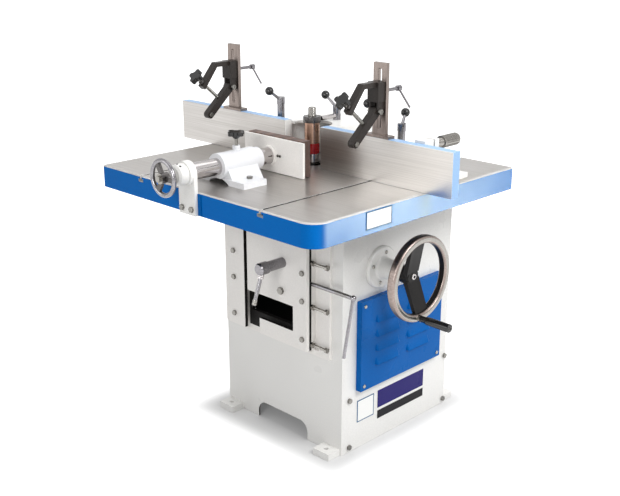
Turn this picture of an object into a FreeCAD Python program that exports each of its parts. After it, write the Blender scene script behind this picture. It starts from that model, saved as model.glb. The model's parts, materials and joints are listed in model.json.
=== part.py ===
import FreeCAD, Part
import math
import os
import re
import Sketcher

# Spindle moulder, millimetres. Origin on the floor under the middle of the cabinet.
# +X runs along the fence to the operator's right, +Y away from the operator, +Z up.

SIZES = {
    # Fits and gaps shared by many pieces
    "running_fit": 0.05,
    "slide_gap": 0.3,
    "cut_over": 5,
    # Cast table
    "table_length": 910,
    "table_front": 573,
    "table_back": 289,
    "table_height": 850,
    "table_edge": 68,
    "table_plate": 26,
    "table_skirt": 18,
    "table_corner": 50,
    "table_small_corner": 6,
    "table_bevel": 3,
    "side_rib": 60,
    "cross_rib": 34,
    "slot_spread": 518,
    "slot_width": 8,
    "slot_lip": 10,
    "tee_width": 22,
    "tee_height": 9,
    "insert_radius": 92,
    "insert_thick": 9,
    "insert_bore": 40,
    "insert_ledge": 12,
    # Cabinet of welded plate
    "cabinet_width": 520,
    "cabinet_depth": 510,
    "cabinet_wall": 6,
    "cabinet_rim": 36,
    "cabinet_rim_thick": 8,
    "arch_width": 226,
    "arch_height": 58,
    "arch_corner": 34,
    "foot_spread": 442,
    "foot_width": 66,
    "foot_reach": 50,
    "foot_thick": 22,
    "foot_hole": 7,
    # Louvred cover on the right wall
    "cover_width": 385,
    "cover_bottom": 202,
    "cover_height": 290,
    "cover_depth": 20,
    "cover_sheet": 2,
    "cover_lap": 26,
    "cover_screw_inset": 15,
    "louvre_length": 108,
    "louvre_gap": 40,
    "louvre_height": 26,
    "louvre_depth": 9,
    "louvre_round": 8,
    "louvre_pitch": 46.5,
    "louvre_lowest": 72,
    "louvre_rows": 4,
    # Round head screws of the cover and the shaft flange
    "screw_radius": 6,
    "screw_height": 4,
    # Hexagon bolts of the slide, the walls and the pressure unit
    "bolt_radius": 9,
    "bolt_height": 7,
    "stop_bolt_radius": 12,
    "stop_bolt_height": 9,
    "stop_bolt_x": 66,
    "stop_bolt_z": 498,
    "wall_bolt_low": 18,
    "wall_bolt_high": 177,
    "wall_bolt_front_inset": 33,
    "wall_bolt_back_inset": 9,
    # Spindle and its stack
    "spindle_x": -20,
    "spindle_y": -100,
    "shaft_bottom": 436,
    "shaft_tail": 20,
    "shaft_tail_top": 478,
    "shaft_journal": 25,
    "shaft_neck": 21,
    "shaft_nose": 15,
    "shaft_thread": 12,
    "shaft_top": 173,
    "stack_radius": 23,
    "base_collar_bottom": 5,
    "base_collar_height": 26,
    "guide_ring_height": 32,
    "sleeve_height": 64,
    "nut_radius": 27.5,
    "nut_height": 19,
    # Carriage that carries the spindle in the slide
    "housing_radius": 55,
    "housing_bottom": 500,
    "housing_top": 760,
    "bearing_radius": 45,
    "bearing_height": 25,
    "carriage_bottom": 485,
    "carriage_top": 738,
    "web_width": 96,
    "web_bottom": 510,
    "web_top": 730,
    "lug_width": 50,
    "lug_bottom": 686,
    "lug_height": 30,
    # Motor and belt drive
    "motor_y": 120,
    "motor_radius": 80,
    "motor_bell": 70,
    "motor_height": 222,
    "motor_fins": 9,
    "motor_fin_depth": 6,
    "motor_shaft_radius": 12,
    "motor_shaft_depth": 40,
    "motor_plate_thick": 16,
    "motor_plate_width": 150,
    "belt_height": 456,
    "belt_width": 8,
    "belt_depth": 8,
    "belt_inset": 2,
    "groove_depth": 12,
    "groove_top": 15,
    "groove_bottom": 9,
    "pulley_width": 30,
    "spindle_pulley_radius": 42,
    "motor_pulley_radius": 66,
    # Vertical slide on the front of the cabinet
    "slide_left": 181,
    "slide_right": 173,
    "slide_bottom": 328,
    "slide_top_gap": 2,
    "flange_left": 232,
    "flange_right": 237,
    "flange_bottom": 309,
    "flange_thick": 10,
    "left_rail": 51,
    "right_rail": 48,
    "rail_depth": 21,
    "keeper_thick": 12,
    "left_keeper_width": 78,
    "keeper_gap": 14,
    "window_right": 115,
    "window_bottom": 380,
    "window_top": 460,
    "notch_width": 54,
    "opening_top": 770,
    "relief_width": 19,
    "relief_depth": 6,
    "left_bolt_inset": 30,
    "right_bolt_inset": 17,
    "keeper_bolt_low": 365,
    "keeper_bolt_mid": 488,
    "keeper_bolt_high": 576,
    "gib_thick": 7.4,
    "gib_bottom": 336,
    "gib_screw_radius": 4.5,
    "gib_screw_reach": 58,
    "gib_nut_radius": 9,
    "gib_nut_thick": 8,
    "gib_screw_low": 346,
    "gib_screw_mid": 468,
    "gib_screw_high": 606,
    # Slide lock on the front and side lock on the right
    "lock_x": 72,
    "lock_z": 590,
    "lock_screw": 8,
    "lock_boss": 16,
    "lock_boss_length": 62,
    "lock_cap": 19,
    "lock_cap_length": 36,
    "lock_bar": 6,
    "lock_bar_length": 112,
    "lock_bar_lean": 19,
    "side_lock_z": 541,
    "side_lock_radius": 6,
    "side_lock_reach": 166,
    "side_lock_bar": 5,
    "side_lock_bar_length": 178,
    "side_lock_lean": 12,
    # Lifting gear and its handwheel
    "wheel_y": -92,
    "wheel_z": 577,
    "lift_offset": 105,
    "lift_screw_radius": 8,
    "lift_screw_bottom": 524,
    "lift_screw_top": 772,
    "lift_nut_radius": 16,
    "gear_inner": 16,
    "gear_outer": 28,
    "gear_gap": 0.5,
    "wheel_shaft": 9,
    "shaft_hole": 14,
    "bracket_width": 50,
    "bracket_arm_thick": 20,
    "bracket_arm_drop": 32,
    "bracket_lug_thick": 20,
    "bracket_lug_offset": 40,
    "bracket_plate": 10,
    "bracket_plate_width": 90,
    "bracket_plate_height": 130,
    "flange_radius": 65,
    "shaft_flange_thick": 12,
    "flange_neck": 31,
    "flange_neck_length": 68,
    "flange_screw_circle": 47,
    "flange_screw_turn": 75,
    "wheel_radius": 118.5,
    "rim_width": 23,
    "rim_depth": 29,
    "rim_round": 9,
    "rim_stand": 67,
    "hub_radius": 28,
    "hub_length": 46,
    "hub_gap": 1,
    "spoke_width": 54,
    "spoke_thick": 12,
    "spoke_lean": 6.5,
    "handle_length": 104,
    "handle_turn": -4,
    "handle_root": 9,
    "handle_tip": 13,
    "handle_pin": 5,
    "handle_collar": 10,
    "handle_collar_length": 6,
    # Fence body, hood and halves
    "fence_face": 143.5,
    "fence_height": 128,
    "fence_thick": 30,
    "fence_wall": 12,
    "fence_rim": 14,
    "fence_ribs": 4,
    "left_fence_inner": 75,
    "left_fence_length": 505,
    "right_fence_inner": 78,
    "right_fence_length": 490,
    "fence_lift": 0.3,
    "base_left": 420,
    "base_right": 450,
    "base_back": 90,
    "base_thick": 14,
    "wing_thick": 12,
    "wing_height": 106,
    "hood_left": 92,
    "hood_right": 94,
    "hood_back": 95,
    "hood_height": 122,
    "hood_wall": 8,
    "hood_corner": 45,
    "hood_mouth": 62,
    "outlet_radius": 50,
    "outlet_wall": 4,
    "outlet_length": 40,
    "outlet_height": 70,
    # Ball levers on chrome posts
    "post_radius": 12,
    "post_pin": 6,
    "post_pin_height": 14,
    "tall_post_top": 162,
    "short_post_top": 125,
    "hood_post_height": 26,
    "lever_hub": 13,
    "lever_hub_height": 22,
    "lever_arm_root": 5.5,
    "lever_arm_tip": 4,
    "lever_arm_length": 60,
    "lever_rise": 35,
    "lever_ball": 13.5,
    "left_post_x": -173,
    "right_post_x": 241,
    "front_post_y": -85,
    "end_post_x": 255,
    "end_post_y": -5,
    "hood_post_x": -11,
    "hood_post_y": 0,
    "left_lever_turn": -90,
    "hood_lever_turn": 180,
    "right_lever_turn": 180,
    "end_lever_turn": 118,
    "guard_rod_radius": 7,
    "guard_rod_length": 82,
    "guard_rod_bore": 4,
    # Fine adjusting knob of the right fence half
    "knob_x": 410,
    "knob_z": 117,
    "knob_nose_y": -50,
    "knob_nose_radius": 7,
    "knob_nose_length": 32,
    "knob_radius": 18,
    "knob_length": 105,
    "knob_round": 5,
    "knob_flutes": 16,
    "knob_flute_radius": 2.2,
    "knob_screw": 6,
    "knob_lug_width": 36,
    "knob_lug_thick": 18,
    "carrier_gap": 6,
    # Hold-downs on the fence halves
    "left_hold_x": -343,
    "right_hold_x": 278.5,
    "post_width": 49,
    "post_thick": 12,
    "post_height": 210,
    "post_slot": 13,
    "post_slot_margin": 22,
    "post_foot_width": 84,
    "post_foot_thick": 8,
    "block_width": 40,
    "block_depth": 28,
    "block_height": 55,
    "block_rise": 104,
    "clevis_width": 18,
    "pivot_forward": 16.3,
    "pivot_drop": 27,
    "pivot_radius": 5,
    "swing_arm_length": 119,
    "swing_arm_radius": 12.5,
    "swing_arm_width": 22,
    "swing_arm_angle": 48.4,
    "bent_arm_width": 22,
    "bent_arm_thick": 14,
    "bent_arm_shoulder": 50,
    "bent_arm_reach": 48,
    "bent_arm_fall": 68,
    "hold_screw_radius": 5,
    "hold_screw_length": 111,
    "hold_screw_angle": 48.8,
    "hold_screw_seat": 57.8,
    "hold_knob_radius": 16,
    "hold_knob_lobe": 8,
    "hold_knob_thick": 16,
    "clamp_screw": 5,
    "clamp_reach": 77,
    "clamp_rise": 26,
    "clamp_bar": 3,
    "clamp_bar_length": 66,
    "clamp_bar_turn": 41,
    "clamp_boss": 8.5,
    "clamp_boss_length": 14,
    # Front pressure unit
    "press_offset": -8,
    "press_height": 50,
    "press_bracket_width": 70,
    "press_bracket_thick": 12,
    "press_bolt_spread": 41,
    "press_bolt_drop": 50,
    "press_collar_radius": 30,
    "press_collar_length": 42,
    "press_collar_flange": 35,
    "press_collar_flange_length": 10,
    "press_collar_wall": 10,
    "press_bar_radius": 24.5,
    "press_bar_front": 592,
    "press_bar_length": 320,
    "press_screw_radius": 9,
    "press_screw_front": 682,
    "press_screw_length": 202,
    "press_screw_bore": 150,
    "press_wheel_y": 662,
    "press_wheel_radius": 48,
    "press_rim_radius": 6.5,
    "press_hub_radius": 15,
    "press_hub_length": 26,
    "press_spoke_width": 15,
    "press_spoke_thick": 8,
    "saddle_front": 475,
    "saddle_length": 133,
    "saddle_radius": 37,
    "saddle_nose_radius": 33,
    "saddle_nose_length": 20,
    "saddle_leg_width": 130,
    "saddle_leg_length": 112,
    "saddle_arch": 65,
    "saddle_arch_height": 17,
    "saddle_foot_width": 216,
    "saddle_foot_length": 86,
    "saddle_foot_y": 426,
    "saddle_foot_thick": 17,
    "saddle_bolt_spread": 142,
    "saddle_bolt_shift": 12,
    "saddle_boss_radius": 11,
    "saddle_boss_height": 50,
    "saddle_boss_y": 400,
    "saddle_screw": 5,
    "saddle_knob_height": 79,
    "saddle_knob_radius": 18,
    "saddle_knob_lobe": 10,
    "saddle_knob_thick": 11,
    "saddle_knob_stem": 10,
    "plate_left": 116,
    "plate_right": 134,
    "plate_height": 104,
    "plate_lift": 1.5,
    "plate_thick": 8,
    "plate_boss_radius": 29,
    "plate_boss_length": 6,
    "facing_thick": 30,
    "facing_end": 8,
    "facing_extra": 3,
}

os.makedirs("parts", exist_ok=True)
doc = FreeCAD.newDocument("SpindleMoulder")
sheet = doc.addObject("Spreadsheet::Sheet", "Sizes")
for row, (name, number) in enumerate(SIZES.items(), start=1):
    sheet.set(f"A{row}", name)
    sheet.set(f"B{row}", str(number))
    sheet.setAlias(f"B{row}", name)
doc.recompute()

NODES = []
SPARE_CELL = "D1"
VECTOR = FreeCAD.Vector
TURN_TO = {
    "X": FreeCAD.Rotation(VECTOR(0, 1, 0), 90),
    "Y": FreeCAD.Rotation(VECTOR(1, 0, 0), -90),
    "Z": FreeCAD.Rotation(),
    "-Y": FreeCAD.Rotation(VECTOR(1, 0, 0), 90),
}
SIDES = (-1, 1)


def sized(expression):
    """Expression written on the size names, in the form that an object of the document takes."""
    def prefixed(word):
        return f"Sizes.{word[0]}" if word[0] in SIZES else word[0]

    return re.sub(r"[a-z][a-z_]*", prefixed, str(expression))


def value(expression):
    """Number that an expression on the size names gives now, worked out in a spare cell."""
    sheet.set(SPARE_CELL, f"={expression}")
    sheet.recompute()
    return float(sheet.get(SPARE_CELL))


def bind(thing, **expressions):
    """Bind properties to expressions; two underscores in a name stand for a dot."""
    for name, expression in expressions.items():
        thing.setExpression(name.replace("__", "."), sized(expression))


def move_to(thing, x="0", y="0", z="0"):
    """Bind the place of an object to expressions."""
    bind(thing, Placement__Base__x=x, Placement__Base__y=y, Placement__Base__z=z)
    return thing


def node(label, thing):
    """Name a finished sub-part and list it for export."""
    thing.Label = label
    NODES.append(thing)
    return thing


def about(centre, width):
    """Low and high coordinate of a width about a centre."""
    return f"({centre}) - ({width}) / 2", f"({centre}) + ({width}) / 2"


def box(x, y, z):
    """Block between pairs of coordinates."""
    block = doc.addObject("Part::Box", "Block")
    for size, letter, (low, high) in zip(("Length", "Width", "Height"), "xyz", (x, y, z)):
        block.setExpression(size, sized(f"({high}) - ({low})"))
        block.setExpression(f"Placement.Base.{letter}", sized(low))
    return block


def rod(axis, radius, span, centre):
    """Cylinder along an axis between two coordinates; centre gives the other two in X, Y, Z order."""
    cylinder = doc.addObject("Part::Cylinder", "Rod")
    low, high = span
    bind(cylinder, Radius=radius, Height=f"({high}) - ({low})")
    cylinder.Placement = FreeCAD.Placement(VECTOR(), TURN_TO[axis])
    place = list(centre)
    place.insert("XYZ".index(axis), low)
    return move_to(cylinder, *place)


def leaning_rod(radius, length, centre, axis, angle, tip_radius=None):
    """Rod or taper that starts at a point and leans from +Z by an angle about an axis."""
    taper = doc.addObject("Part::Cone" if tip_radius else "Part::Cylinder", "LeaningRod")
    if tip_radius:
        bind(taper, Radius1=radius, Radius2=tip_radius, Height=length)
    else:
        bind(taper, Radius=radius, Height=length)
    taper.Placement = FreeCAD.Placement(VECTOR(), FreeCAD.Rotation(axis, value(angle)))
    bind(taper, Placement__Rotation__Angle=angle)
    return move_to(taper, *centre)


def ball(radius, centre):
    """Sphere about a point, with its poles along Y, clear of the bars that enter it."""
    sphere = doc.addObject("Part::Sphere", "Ball")
    bind(sphere, Radius=radius)
    sphere.Placement = FreeCAD.Placement(VECTOR(), TURN_TO["Y"])
    return move_to(sphere, *centre)


def hexagon(axis, radius, height, centre):
    """Hexagon head or nut that stands out along an axis from a point."""
    prism = doc.addObject("Part::Prism", "Hexagon")
    prism.Polygon = 6
    bind(prism, Circumradius=radius, Height=height)
    prism.Placement = FreeCAD.Placement(VECTOR(), TURN_TO[axis])
    return move_to(prism, *centre)


def fuse(*pieces):
    """One solid of several."""
    joined = doc.addObject("Part::MultiFuse", "Joined")
    joined.Shapes = list(pieces)
    joined.Refine = True
    return joined


def group(*pieces):
    """Separate solids kept together."""
    kept = doc.addObject("Part::Compound", "Group")
    kept.Links = list(pieces)
    return kept


def cut(base, *tools):
    """A solid less one or more others."""
    rest = doc.addObject("Part::Cut", "Cut")
    rest.Base = base
    rest.Tool = tools[0] if len(tools) == 1 else group(*tools)
    rest.Refine = True
    return rest


def outline(body, plane, points, offset):
    """Closed sketch whose corners are held by their distances from the origin."""
    sketch = body.newObject("Sketcher::SketchObject", "Outline")
    support = [item for item in body.Origin.OriginFeatures if item.Role == f"{plane}_Plane"]
    sketch.AttachmentSupport = [(support[0], "")]
    sketch.MapMode = "FlatFace"
    sketch.setExpression("AttachmentOffset.Base.z", sized(offset))
    corners = [VECTOR(value(across), value(along), 0) for across, along in points]
    count = len(corners)
    for index, corner in enumerate(corners):
        sketch.addGeometry(Part.LineSegment(corner, corners[(index + 1) % count]))
    for index in range(count):
        sketch.addConstraint(Sketcher.Constraint("Coincident", index, 2, (index + 1) % count, 1))
    for index, (corner, point) in enumerate(zip(corners, points)):
        for kind, start, expression in zip(("DistanceX", "DistanceY"), corner, point):
            held = sketch.addConstraint(Sketcher.Constraint(kind, -1, 1, index, 1, start))
            sketch.setExpression(f"Constraints[{held}]", sized(expression))
    return sketch


def padded(plane, points, span):
    """Body of an outline on a plane, extruded between two coordinates of the plane's normal."""
    body = doc.addObject("PartDesign::Body", "Padded")
    low, high = span
    offset = f"-({high})" if plane == "XZ" else low
    pad = body.newObject("PartDesign::Pad", "Pad")
    pad.Profile = outline(body, plane, points, offset)
    bind(pad, Length=f"({high}) - ({low})")
    return body


def turned(axis, points, centre):
    """Body of a profile of (radius, coordinate along the axis) points, turned about the axis."""
    body = doc.addObject("PartDesign::Body", "Turned")
    profile = outline(body, "XZ", points, "0")
    turn = body.newObject("PartDesign::Revolution", "Turn")
    turn.Profile = profile
    turn.ReferenceAxis = (profile, ["V_Axis"])
    turn.Angle = 360
    body.Placement = FreeCAD.Placement(VECTOR(), TURN_TO[axis])
    place = list(centre)
    place.insert("XYZ".index(axis), "0")
    return move_to(body, *place)


def dressed(body, kind, size_name, size, chosen):
    """Fillet or chamfer on the edges of a body that a test on their middle points picks."""
    doc.recompute()
    base = body.Tip
    names = []
    for index, edge in enumerate(base.Shape.Edges, start=1):
        if chosen(edge.CenterOfMass, edge):
            names.append(f"Edge{index}")
    feature = body.newObject(f"PartDesign::{kind}", kind)
    feature.Base = (base, names)
    feature.setExpression(size_name, sized(size))
    body.Tip = feature
    return body


def near(first, second, reach=0.01):
    """Whether two numbers agree."""
    return abs(first - second) < reach


def is_upright(edge):
    """Whether a straight edge runs along Z."""
    box_of_edge = edge.BoundBox
    return near(box_of_edge.XLength, 0) and near(box_of_edge.YLength, 0)


# Shared levels and places, worked out from the sizes
TABLE_UNDER = "(table_height - table_edge)"
TABLE_CEILING = "(table_height - table_plate)"
WALL_FRONT = "(-cabinet_depth / 2)"
FLANGE_FRONT = f"({WALL_FRONT} - flange_thick)"
RAIL_FRONT = f"({FLANGE_FRONT} - rail_depth)"
KEEPER_FRONT = f"({RAIL_FRONT} - keeper_thick)"
SLIDE_LEFT = "(spindle_x - slide_left)"
SLIDE_RIGHT = "(spindle_x + slide_right)"
SLIDE_TOP = f"({TABLE_UNDER} - slide_top_gap)"
LEFT_RAIL_INNER = f"({SLIDE_LEFT} + left_rail)"
RIGHT_RAIL_INNER = f"({SLIDE_RIGHT} - right_rail)"
GIB_RIGHT = f"({RIGHT_RAIL_INNER} - slide_gap)"
GIB_LEFT = f"({GIB_RIGHT} - gib_thick)"
LEFT_KEEPER_EDGE = f"({SLIDE_LEFT} + left_keeper_width)"
RIGHT_KEEPER_EDGE = f"({LEFT_KEEPER_EDGE} + keeper_gap)"
OPENING_RIGHT = "(spindle_x + window_right)"
SLIDE_MIDDLE = f"({FLANGE_FRONT} - rail_depth / 2)"
WALL_RIGHT = "(cabinet_width / 2)"
WALL_RIGHT_INNER = f"({WALL_RIGHT} - cabinet_wall)"
COVER_FACE = f"({WALL_RIGHT} + cover_depth)"
COVER_TOP = "(cover_bottom + cover_height)"
SPINDLE = ("spindle_x", "spindle_y")
MOTOR = ("spindle_x", "motor_y")
LIFT_X = "(spindle_x + lift_offset)"
WHEEL_AXIS = ("wheel_y", "wheel_z")
SHAFT_FLANGE_FACE = f"({WALL_RIGHT} + shaft_flange_thick)"
HUB_BACK = f"({SHAFT_FLANGE_FACE} + flange_neck_length + hub_gap)"
HUB_FACE = f"({HUB_BACK} + hub_length)"
RIM_X = f"({HUB_BACK} + rim_stand)"
FENCE_BACK = "(-fence_face + fence_thick)"
FENCE_BOTTOM = "(table_height + fence_lift)"
FENCE_TOP = f"({FENCE_BOTTOM} + fence_height)"
WING_FRONT = f"({FENCE_BACK} + slide_gap)"
WING_BACK = f"({WING_FRONT} + wing_thick)"
BASE_TOP = f"({FENCE_BOTTOM} + base_thick)"
HOOD_TOP = f"({FENCE_BOTTOM} + hood_height)"
PRESS_X = "(spindle_x + press_offset)"
PRESS_Z = "(table_height + press_height)"
PRESS_AXIS = (PRESS_X, PRESS_Z)


# Cabinet
def make_cabinet():
    half_wide = "cabinet_width / 2"
    half_deep = "cabinet_depth / 2"
    outer = box(about("0", "cabinet_width"), about("0", "cabinet_depth"), ("0", TABLE_UNDER))
    room = box(
        about("0", "cabinet_width - 2 * cabinet_wall"),
        about("0", "cabinet_depth - 2 * cabinet_wall"),
        ("-cut_over", f"{TABLE_UNDER} - cabinet_rim_thick"),
    )
    mouth = box(
        about("0", "cabinet_width - 2 * cabinet_rim"),
        about("0", "cabinet_depth - 2 * cabinet_rim"),
        (f"{TABLE_UNDER} - cabinet_rim_thick - cut_over", f"{TABLE_UNDER} + cut_over"),
    )
    through = (f"-{half_deep} - cut_over", f"{half_deep} + cut_over")
    corner_x = "(arch_width / 2 - arch_corner)"
    corner_z = "(arch_height - arch_corner)"
    arch = [
        box(about("0", "arch_width"), through, ("-cut_over", corner_z)),
        box((f"-{corner_x}", corner_x), through, ("-cut_over", "arch_height")),
    ]
    for side in SIDES:
        arch.append(rod("Y", "arch_corner", through, (f"{side} * {corner_x}", corner_z)))
    front_wall = (f"{WALL_FRONT} - cut_over", f"{WALL_FRONT} + cabinet_wall + cut_over")
    slide_opening = box((LEFT_KEEPER_EDGE, OPENING_RIGHT), front_wall, ("window_bottom", "opening_top"))
    right_wall = (f"{half_wide} - cabinet_wall - cut_over", f"{half_wide} + cut_over")
    service_opening = box(
        right_wall,
        about("0", "cover_width - 2 * cover_lap"),
        ("cover_bottom + cover_lap", f"{COVER_TOP} - cover_lap"),
    )
    shaft_passage = rod("X", "shaft_hole", right_wall, WHEEL_AXIS)
    node("cabinet", cut(outer, room, mouth, fuse(*arch), slide_opening, service_opening, shaft_passage))


def make_floor_feet():
    feet = []
    for side in SIDES:
        for end in SIDES:
            middle_y = f"{end} * (cabinet_depth / 2 + foot_reach / 2)"
            centre = (f"{side} * foot_spread / 2", middle_y)
            plate = box(about(centre[0], "foot_width"), about(middle_y, "foot_reach"), ("0", "foot_thick"))
            hole = rod("Z", "foot_hole", ("-cut_over", "foot_thick + cut_over"), centre)
            feet.append(cut(plate, hole))
    node("floor_feet", group(*feet))


# Table
def make_table():
    half = "table_length / 2"
    corners = [
        (f"-{half}", "-table_front"),
        (half, "-table_front"),
        (half, "table_back"),
        (f"-{half}", "table_back"),
    ]
    slab = padded("XY", corners, (TABLE_UNDER, "table_height"))
    right_x = value(half)
    front_y = value("-table_front")

    def is_large_corner(middle, edge):
        return is_upright(edge) and near(middle.x, right_x) and near(middle.y, front_y)

    def is_small_corner(middle, edge):
        at_corner = near(abs(middle.x), right_x) and not (near(middle.x, right_x) and near(middle.y, front_y))
        return is_upright(edge) and at_corner and middle.y < value("table_back") + 1

    def is_top_edge(middle, edge):
        return near(middle.z, value("table_height"))

    def is_straight_corner(middle, edge):
        return is_small_corner(middle, edge) and not near(middle.y, front_y + value("table_corner"))

    dressed(slab, "Fillet", "Radius", "table_corner", is_large_corner)
    dressed(slab, "Fillet", "Radius", "table_small_corner", is_straight_corner)
    dressed(slab, "Chamfer", "Size", "table_bevel", is_top_edge)

    side_rib_x = "(cabinet_width / 2)"
    cross_rib_y = "(cabinet_depth / 2)"
    columns = [
        (f"-{half} + table_skirt", f"-{side_rib_x} - side_rib / 2"),
        (f"-{side_rib_x} + side_rib / 2", f"{side_rib_x} - side_rib / 2"),
        (f"{side_rib_x} + side_rib / 2", f"{half} - table_skirt"),
    ]
    rows = [
        ("-table_front + table_skirt", f"-{cross_rib_y} - cross_rib / 2"),
        (f"-{cross_rib_y} + cross_rib / 2", f"{cross_rib_y} - cross_rib / 2"),
    ]
    hollow = (f"{TABLE_UNDER} - cut_over", TABLE_CEILING)
    tools = [box(column, row, hollow) for column in columns for row in rows]
    length = ("-table_front - cut_over", "table_back + cut_over")
    tee_top = "table_height - slot_lip"
    for side in SIDES:
        centre = f"{side} * slot_spread / 2"
        tee_low = f"{tee_top} - tee_height"
        neck = box(about(centre, "slot_width"), length, (tee_low, "table_height + cut_over"))
        tee = box(about(centre, "tee_width"), length, (tee_low, tee_top))
        tools.append(fuse(neck, tee))
    over = "table_height + cut_over"
    tools.append(rod("Z", "insert_radius - insert_ledge", (f"{TABLE_CEILING} - cut_over", over), SPINDLE))
    tools.append(rod("Z", "insert_radius", ("table_height - insert_thick", over), SPINDLE))
    node("table", cut(slab, *tools))


def make_insert_ring():
    level = ("table_height - insert_thick", "table_height")
    disc = rod("Z", "insert_radius - running_fit", level, SPINDLE)
    bore = rod("Z", "insert_bore", (f"{level[0]} - cut_over", f"{level[1]} + cut_over"), SPINDLE)
    node("table_insert_ring", cut(disc, bore))


# Louvred cover
def is_sloping(middle, edge):
    """Whether a straight edge slopes in X and Z."""
    return edge.BoundBox.XLength > 1 and edge.BoundBox.ZLength > 1


def make_side_cover():
    across = about("0", "cover_width")
    pan = box((WALL_RIGHT, COVER_FACE), across, ("cover_bottom", COVER_TOP))
    inside = box(
        (f"{WALL_RIGHT} - cut_over", f"{COVER_FACE} - cover_sheet"),
        about("0", "cover_width - 2 * cover_sheet"),
        ("cover_bottom + cover_sheet", f"{COVER_TOP} - cover_sheet"),
    )
    hoods = []
    vents = []
    sheet_back = f"{COVER_FACE} - cover_sheet"
    for row in range(int(value("louvre_rows"))):
        foot = f"(cover_bottom + louvre_lowest + {row} * louvre_pitch)"
        for side in SIDES:
            centre = f"{side} * (louvre_length + louvre_gap) / 2"
            shell = [
                (sheet_back, foot),
                (f"{COVER_FACE} + louvre_depth", foot),
                (COVER_FACE, f"{foot} + louvre_height"),
                (sheet_back, f"{foot} + louvre_height"),
            ]
            void = [
                (f"{sheet_back} - cut_over", f"{foot} - cover_sheet"),
                (f"{COVER_FACE} + louvre_depth - 2 * cover_sheet", f"{foot} - cover_sheet"),
                (f"{COVER_FACE} - cover_sheet", f"{foot} + louvre_height - 2 * cover_sheet"),
                (f"{sheet_back} - cut_over", f"{foot} + louvre_height - 2 * cover_sheet"),
            ]
            hood = padded("XZ", shell, about("0", "louvre_length"))
            vent = padded("XZ", void, about("0", "louvre_length - 2 * cover_sheet"))
            dressed(hood, "Fillet", "Radius", "louvre_round", is_sloping)
            dressed(vent, "Fillet", "Radius", "louvre_round - cover_sheet", is_sloping)
            hoods.append(move_to(hood, y=centre))
            vents.append(move_to(vent, y=centre))
    node("side_cover", cut(fuse(cut(pan, inside), *hoods), *vents))


def round_screw(x, y, z):
    """Round head that stands out along +X."""
    profile = [
        ("0", "0"),
        ("screw_radius", "0"),
        ("screw_radius", "screw_height / 2"),
        ("screw_radius * 0.6", "screw_height"),
        ("0", "screw_height"),
    ]
    head = turned("X", profile, (y, z))
    return move_to(head, x, y, z)


def make_cap_screws():
    screws = []
    for side in SIDES:
        across = f"{side} * (cover_width / 2 - cover_screw_inset)"
        for level in ("cover_bottom + cover_screw_inset", f"{COVER_TOP} - cover_screw_inset"):
            screws.append(round_screw(COVER_FACE, across, level))
    for quarter in range(4):
        turn = f"(flange_screw_turn + {90 * quarter})"
        across = f"wheel_y + flange_screw_circle * cos({turn})"
        level = f"wheel_z + flange_screw_circle * sin({turn})"
        screws.append(round_screw(SHAFT_FLANGE_FACE, across, level))
    node("cap_screws", group(*screws))


def make_hex_bolts():
    heads = []
    keeper_columns = (f"{SLIDE_LEFT} + left_bolt_inset", f"{SLIDE_RIGHT} - right_bolt_inset")
    for across in keeper_columns:
        for level in ("low", "mid", "high"):
            place = (across, KEEPER_FRONT, f"keeper_bolt_{level}")
            heads.append(hexagon("-Y", "bolt_radius", "bolt_height", place))
    stop = ("spindle_x + stop_bolt_x", KEEPER_FRONT, "stop_bolt_z")
    heads.append(hexagon("-Y", "stop_bolt_radius", "stop_bolt_height", stop))
    wall_columns = (f"{WALL_FRONT} + wall_bolt_front_inset", f"-{WALL_FRONT} - wall_bolt_back_inset")
    for level in ("wall_bolt_low", "wall_bolt_high"):
        for along in wall_columns:
            heads.append(hexagon("X", "bolt_radius", "bolt_height", (WALL_RIGHT, along, level)))
    bracket_front = "-table_front - press_bracket_thick"
    for side in SIDES:
        across = f"{PRESS_X} + {side} * press_bolt_spread / 2"
        level = "table_height - press_bolt_drop"
        heads.append(hexagon("-Y", "bolt_radius", "bolt_height", (across, bracket_front, level)))
        foot = (f"{PRESS_X} + {side} * saddle_bolt_spread / 2", "-saddle_foot_y + saddle_bolt_shift")
        heads.append(hexagon("Z", "bolt_radius", "bolt_height", (*foot, "table_height + saddle_foot_thick")))
    node("hex_bolts", group(*heads))


# Vertical slide
def make_slide_housing():
    flange = box(
        ("spindle_x - flange_left", "spindle_x + flange_right"),
        (FLANGE_FRONT, WALL_FRONT),
        ("flange_bottom", SLIDE_TOP),
    )
    depth = (RAIL_FRONT, FLANGE_FRONT)
    height = ("slide_bottom", SLIDE_TOP)
    left = box((SLIDE_LEFT, LEFT_RAIL_INNER), depth, height)
    right = box((RIGHT_RAIL_INNER, SLIDE_RIGHT), depth, height)
    opening = box(
        (LEFT_KEEPER_EDGE, OPENING_RIGHT),
        (f"{FLANGE_FRONT} - cut_over", f"{WALL_FRONT} + cut_over"),
        ("window_bottom", "opening_top"),
    )
    relief = box(
        (SLIDE_RIGHT, f"{SLIDE_RIGHT} + relief_width"),
        (f"{FLANGE_FRONT} - cut_over", f"{FLANGE_FRONT} + relief_depth"),
        ("slide_bottom", f"{SLIDE_TOP} + cut_over"),
    )
    through_rail = (f"{RIGHT_RAIL_INNER} - cut_over", f"{SLIDE_RIGHT} + cut_over")
    holes = []
    for level in ("low", "mid", "high"):
        axis = (SLIDE_MIDDLE, f"gib_screw_{level}")
        holes.append(rod("X", "gib_screw_radius + running_fit", through_rail, axis))
    holes.append(rod("X", "side_lock_radius + running_fit", through_rail, (SLIDE_MIDDLE, "side_lock_z")))
    node("slide_housing", cut(fuse(flange, left, right), opening, relief, *holes))


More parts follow.
